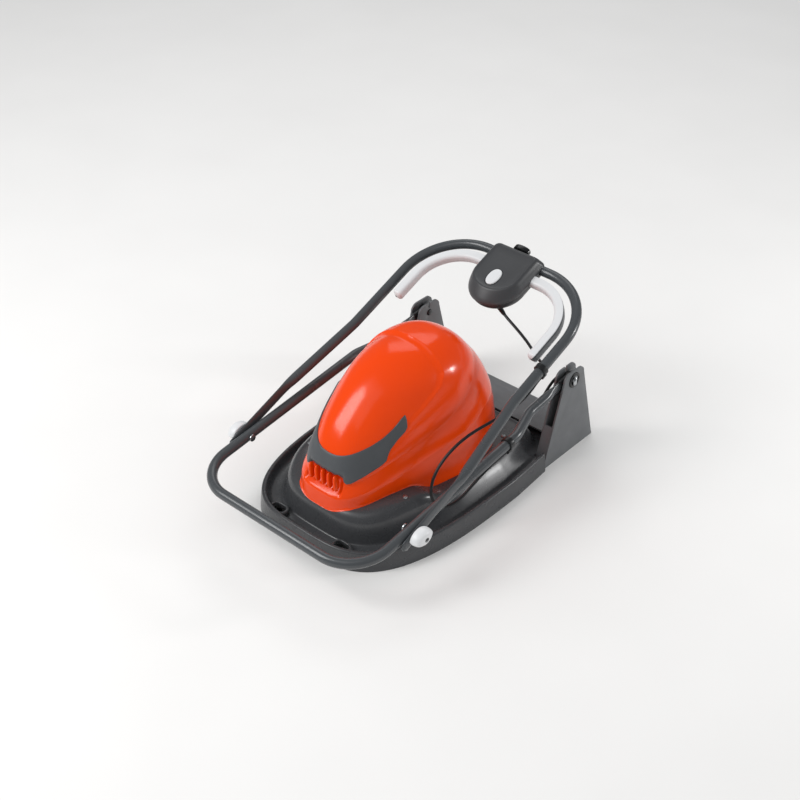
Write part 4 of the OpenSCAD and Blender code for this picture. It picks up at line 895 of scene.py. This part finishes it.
def box_ring(h, side_in, nose_in):
    """An outline with a round nose, straight sides and rounded rear corners."""
    a = np.radians(np.linspace(0, 180, 40))
    w = box_half_w - side_in
    nose = np.stack([w * np.cos(a), up_len - box_front + box_nose - (box_nose - nose_in) * np.sin(a)], 1)
    r = box_corner
    rear = up_len + box_rear - side_in * 0.9
    b = np.radians(np.linspace(0, 90, 9))
    left = np.stack([-w + r - r * np.cos(b), rear - r + r * np.sin(b)], 1)
    outline = np.concatenate([nose, left, left[::-1] * [-1, 1]])
    return at_height(outline, h)


def drawn_in(ring, share, up=0):
    """A ring of the box at a share of its size, lifted by that much."""
    return np.column_stack([(ring[:, :2] - box_mid) * share + box_mid, ring[:, 2] + up])


box_plastic = moulded("textured_charcoal_abs", "#404143", "#393A3C", 0.36, 0.8, 0.012)
tray_plastic = moulded("textured_black_abs", "#38393B", "#323335", 0.42, 0.8, 0.015)
for name, table, node, finish in (("switch_box_lid", box_top, "switch_box_top", box_plastic),
                                  ("switch_box_tray", box_base, "switch_box_base", tray_plastic)):
    rings = [box_ring(*row) for row in through(table, box_steps)]
    out = box_crown * np.sign(table[-1][0])
    rings = [drawn_in(rings[0], box_lap), *rings,
             *(drawn_in(rings[-1], k, out * (1 - k)) for k in box_lid_shares)]
    lofted(name, upper_place, rings, finish, "trim_plastic", "upper_handle", node, sharp=50)

# Lock-off button: a white oval dome that sinks into a dark slot in the box's lid.
button_y, button_half_l, button_half_w = up_len - 82, 22, 14.6
slot_floor, slot_gap = 25.5, 0.5
button_dome = [(29.0, 0), (31.4, 0), (33.2, 0.5), (34.1, 1.6), (34.5, 3.4), (34.7, 6.5), (34.8, 10)]
button_power, button_steps = 0.9, 2
slot_edge = [(1.5, 31), (1.5, 32.3), (1.0, 32.5), (0.5, 32.2), (0.5, 31)]


def oval(h, out):
    """The button's outline at a height, grown by that much."""
    a = turn_by(6)
    x, y = signed(np.cos(a), button_power), signed(np.sin(a), button_power)
    return at_height(np.stack([(button_half_w + out) * x, (button_half_l + out) * y + button_y], 1), h)


rings = [oval(h, slot_gap) for h in (slot_floor, 2 * slot_floor)]
pocket = outward(piece("cutter", upper_place(rings), closed(rings), black_plastic, False))
lid = bpy.data.objects["switch_box_lid"]
cut(lid, pocket)
shade(lid, 50)
rings = [oval(h, -inset) for h, inset in through(button_dome, button_steps)]
lofted("lock_button_cap", upper_place, rings, white_plastic, "white_plastic", "lock_button",
       "lock_button", sharp=40)
rings = [oval(h, out) for out, h in slot_edge]
lofted("button_slot_edge", upper_place, rings, black_plastic, "black_plastic", "upper_handle", loop=True)

# Inside the box and at its back: a micro-switch, springs, pins and screws, and the black
# socket for the mains lead.
dress(bright_steel, "box_screws", "button_spring", "lever_pins", "lever_springs")
dress(black_plastic, "micro_switch")
gloss_black = moulded("gloss_black_nylon", "#1A1B1C", "#151617", 0.16, 2.0, 0.003)
inlet_y, inlet_h, inlet_half_w, inlet_half_h = up_len + tube_r + 1, 18, 20, 10.5
inlet_side, inlet_flat = 0.7, 0.8
inlet_profile = [(0, 0.9), (1, 1.0), (8, 1.0), (9.4, 0.98), (10.8, 0.92), (11.5, 0.84), (11.5, 0.72),
                 (10.5, 0.66), (6.5, 0.62), (6.4, 0.05)]
a = turn_by(6)
wide = inlet_half_w * signed(np.cos(a), inlet_side)
tall = inlet_half_h * signed(np.sin(a), inlet_flat)
rings = [np.stack([wide * k, np.full(len(a), inlet_y + d), inlet_h + tall * k], 1)
         for d, k in inlet_profile]
lofted("inlet_socket", upper_place, rings, gloss_black, "black_plastic", "upper_handle", "mains_inlet",
       sharp=40)

# Switch levers: white ABS channels that follow the inside of the loop, with a grey core let
# into their outer side. Each turns on a pin in the box.
lever_gap, lever_tail, lever_pivot_x = 34.5, 70, 40
lever_in, lever_out, lever_half_t, lever_round, lever_edge = 12, 8.4, 11.5, 8, 1.5
core_in, core_out, core_half, core_round, core_gap = 6, 9, 9, 4, 0.2
groove_in, groove_up = 1, 0.8
lever_neck, neck_share, neck_run = 17, 0.9, 5
lever_r = loop_bend - lever_gap
core_plastic = moulded("grey_nylon", "#5E6164", "#565A5D", 0.4, 0.8, 0.015)
half = route((0, 0), [(loop_half_w - loop_bend - lever_pivot_x, 90, lever_r), (lever_tail, 0, 0)])


def swept(line, outline, tip):
    """An outline carried along the lever's line; its last places shrink to a rounded tip."""
    ahead, gone = along(line)
    rest = gone[-1] - gone
    k = np.where(rest < tip, np.sqrt(np.maximum(1 - (1 - rest / tip) ** 2, 0.06)), 1)
    reach = neck_share + (1 - neck_share) * smooth((gone - lever_neck) / neck_run)
    rings = []
    for p, t, f, r in zip(line, ahead, k, reach):
        across = np.where(outline[:, 0] > 0, outline[:, 0] * r, outline[:, 0])
        rings.append(np.column_stack([p + np.outer(across * f, (-t[1], t[0])), outline[:, 1] * f]))
    return rings


def corner(cx, cy, r, start, end, n=7):
    """An arc about a place, from one angle to another."""
    a = np.radians(np.linspace(start, end, n))
    return np.stack([cx + r * np.cos(a), cy + r * np.sin(a)], 1)


channel = np.concatenate([
    [(lever_out - groove_in, core_half), (lever_out, core_half + groove_up)],
    corner(lever_out - lever_edge, lever_half_t - lever_edge, lever_edge, 0, 90, 5),
    corner(lever_round - lever_in, lever_half_t - lever_round, lever_round, 90, 180),
    corner(lever_round - lever_in, lever_round - lever_half_t, lever_round, 180, 270),
    corner(lever_out - lever_edge, lever_edge - lever_half_t, lever_edge, 270, 360, 5),
    [(lever_out, -core_half - groove_up), (lever_out - groove_in, -core_half)],
    [(-core_in, -core_half), (-core_in, core_half)]])
bar = np.concatenate([
    corner(core_out - core_round, core_half - core_round - core_gap, core_round, 0, 90),
    [(core_gap - core_in, core_half - core_gap), (core_gap - core_in, core_gap - core_half)],
    corner(core_out - core_round, core_round + core_gap - core_half, core_round, 270, 360)])
line = np.stack([lever_pivot_x - half[:, 1], up_len - lever_gap + half[:, 0]], 1)
last = np.linspace(0.1, 1, 14)[:, None]
line = np.concatenate([line[:-1], line[-2] + (line[-1] - line[-2]) * last])
for side, s in sides:
    for name, node, outline, finish, slot, tip in (
            (side + "_lever_channel", side + "_lever", channel, white_plastic, "white_plastic", 7),
            (side + "_lever_filling", side + "_lever_core", bar, core_plastic, "core_plastic", 9)):
        rings = [ring * [s, 1, 1] for ring in swept(line, outline, tip)]
        lofted(name, upper_place, rings, finish, slot, side + "_lever", node, sharp=45)

# Motor lead: a round PVC cable from the box, under the upper clip, in a slack bight past the
# hood, under the lower clip and down beside the bracket to its gland.
lead_d = 6.5
clip_up_y, clip_low_y, clip_w, eye_half, eye_drop = 440, 240, 12, 9, 18.75
gland_x, gland_y, gland_top = 172, -21, 49.3
gland_rises = (14.3, 6.6, 0)
joint_steps = np.array([0.6, 5, 10])
lead_shares = [(0.14, -114, -31), (0.24, -122, -37), (0.40, -135, -41), (0.57, -152, -40),
               (0.74, -173, -35), (0.89, -192, -27), (0.97, -203, -21)]
lead_upper = [(16, up_len - 110, -11), (24, up_len - 112, -21)]
lead_upper += [(x * loop_half_w, up_len + y, z) for x, y, z in lead_shares]
lead_upper += [(loop_half_w, clip_up_y + e * eye_half, -eye_drop) for e in (1, 0, -1)]
lead_slack = [(-5, -172, 247), (-8, -202, 236), (-16, -236, 226), (-28, -270, 216), (-42, -303, 204),
              (-52, -336, 189), (-59, -368, 168), (-61, -396, 141), (-57, -411, 112), (-47, -414, 90),
              (-35, -403, 78), (-24, -384, 77), (-18, -362, 86), (-14, -338, 100), (-9, -312, 117),
              (-4, -286, 131)]
lead_low = [(-5, -206, -20), (-15, -170, -20), (-25, -132, -19), (-34, -96, -16), (-40, -62, -10),
            (-43, -40, -4), (-44, -28, 0), (-44, -18, 0), (-44, -8, 0)]
lead_lower = [(low_half_w, -clip_low_y - e * clip_w, -eye_drop) for e in (1, 0, -1)]
lead_lower += [(low_half_w + x, y, z) for x, y, z in lead_low]
lead_drop = [(-44, 11, 189.6), (-45, 21, 183.3), (-47, 27, 173.4), (-48, 29, 164), (-51, 26, 146),
             (-52, 17, 126), (-53, 2, 106), (-54, -12, 90), (-54, -19, 76)]
lead_steps, lead_give, lead_pitch = 6, 10, 3


def shifted(point, steps):
    """Places in line with one, by steps along Y."""
    return [np.array(point) + [0, step, 0] for step in steps]


upper_run = upper_place([lead_upper])
lower_run = lower_place([lead_lower])
slack_run = np.concatenate([
    upper_place([shifted(lead_upper[-1], -joint_steps)]),
    grid([np.array(lead_slack) + [low_half_w, 0, 0]]),
    lower_place([shifted(lead_lower[0], -joint_steps[::-1])])])
drop_run = np.concatenate([
    lower_place([shifted(lead_lower[-1], joint_steps)]),
    grid([np.array(lead_drop) + [low_half_w, 0, 0]]),
    grid([[(gland_x, gland_y, gland_top + h) for h in gland_rises]])])


def eased(points):
    """The line of a cable near those places, in even steps: its ends are held, its bends evened out."""
    line = through(points, lead_steps)
    gone = along(line)[1]
    n = int(round(gone[-1] / (lead_pitch * MM))) + 1
    line = np.stack([np.interp(np.linspace(0, gone[-1], n), gone, axis) for axis in line.T], 1)
    bend = np.diff(np.eye(n), 2, axis=0)
    pull = np.eye(n) + (lead_give / lead_pitch) ** 4 * bend.T @ bend
    free, held = np.arange(2, n - 2), [0, 1, n - 2, n - 1]
    load = line[free] - pull[np.ix_(free, held)] @ line[held]
    line[free] = np.linalg.solve(pull[np.ix_(free, free)], load)
    return line


def hose(name, line, radii, material):
    """A round tube along a line, with its radius at each place."""
    ahead = along(line)[0]
    side = np.cross(ahead[0], (0.3, 0.2, 1))
    a = turn_by(24)
    rings = []
    for p, t, r in zip(line, ahead, radii):
        side = side - t * side.dot(t)
        side /= np.linalg.norm(side)
        other = np.cross(t, side)
        rings.append(p + r * MM * (np.outer(np.cos(a), side) + np.outer(np.sin(a), other)))
    made = outward(piece(name, np.concatenate(rings), closed(rings), material))
    shade(made, 60)
    return made


black_rubber = moulded("black_pvc_sheath", "#18191B", "#121314", 0.34, 1.2, 0.02)
for name, node, points, *bodies in (
        ("lead_in_the_loop", "lead_upper", upper_run, "upper_handle"),
        ("lead_slack_bight", "lead_loop", slack_run, "upper_handle", "lower_handle"),
        ("lead_on_the_leg", "lead_lower", lower_run, "lower_handle"),
        ("lead_to_the_deck", "lead_tail", drop_run, "lower_handle", "base")):
    line = eased(points)
    lead = hose(name, line, [lead_d / 2] * len(line), black_rubber)
    if node == "lead_loop":
        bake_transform(lead)
    elif node == "lead_tail":
        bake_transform(lead)
    else:
        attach(lead, *bodies)
    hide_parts(node)
    float(along(line)[1][-1])

# Clips and gland: black nylon clips pressed on the tubes hold the lead by an eye, a tapered
# rubber gland seals it where it enters the deck, and a stepped sleeve guards it at the box.
for side, body in (("upper", "upper_handle"), ("lower", "lower_handle")):
    softened(side + "_cable_clip", side + "_clip", 0.7, black_plastic, body, "black_plastic")
softened("deck_gland", "lead_gland", 0.8, black_rubber, "base", "black_rubber")
relief_radii = [6.4, 6.4, 5.9, 5.9, 5.3, 5.3, 4.8, 4.8, 4.2, 3.6]
relief = hose("box_lead_relief", eased(upper_run)[3:13], relief_radii, black_rubber)
fitted(relief, "black_rubber", "upper_handle")
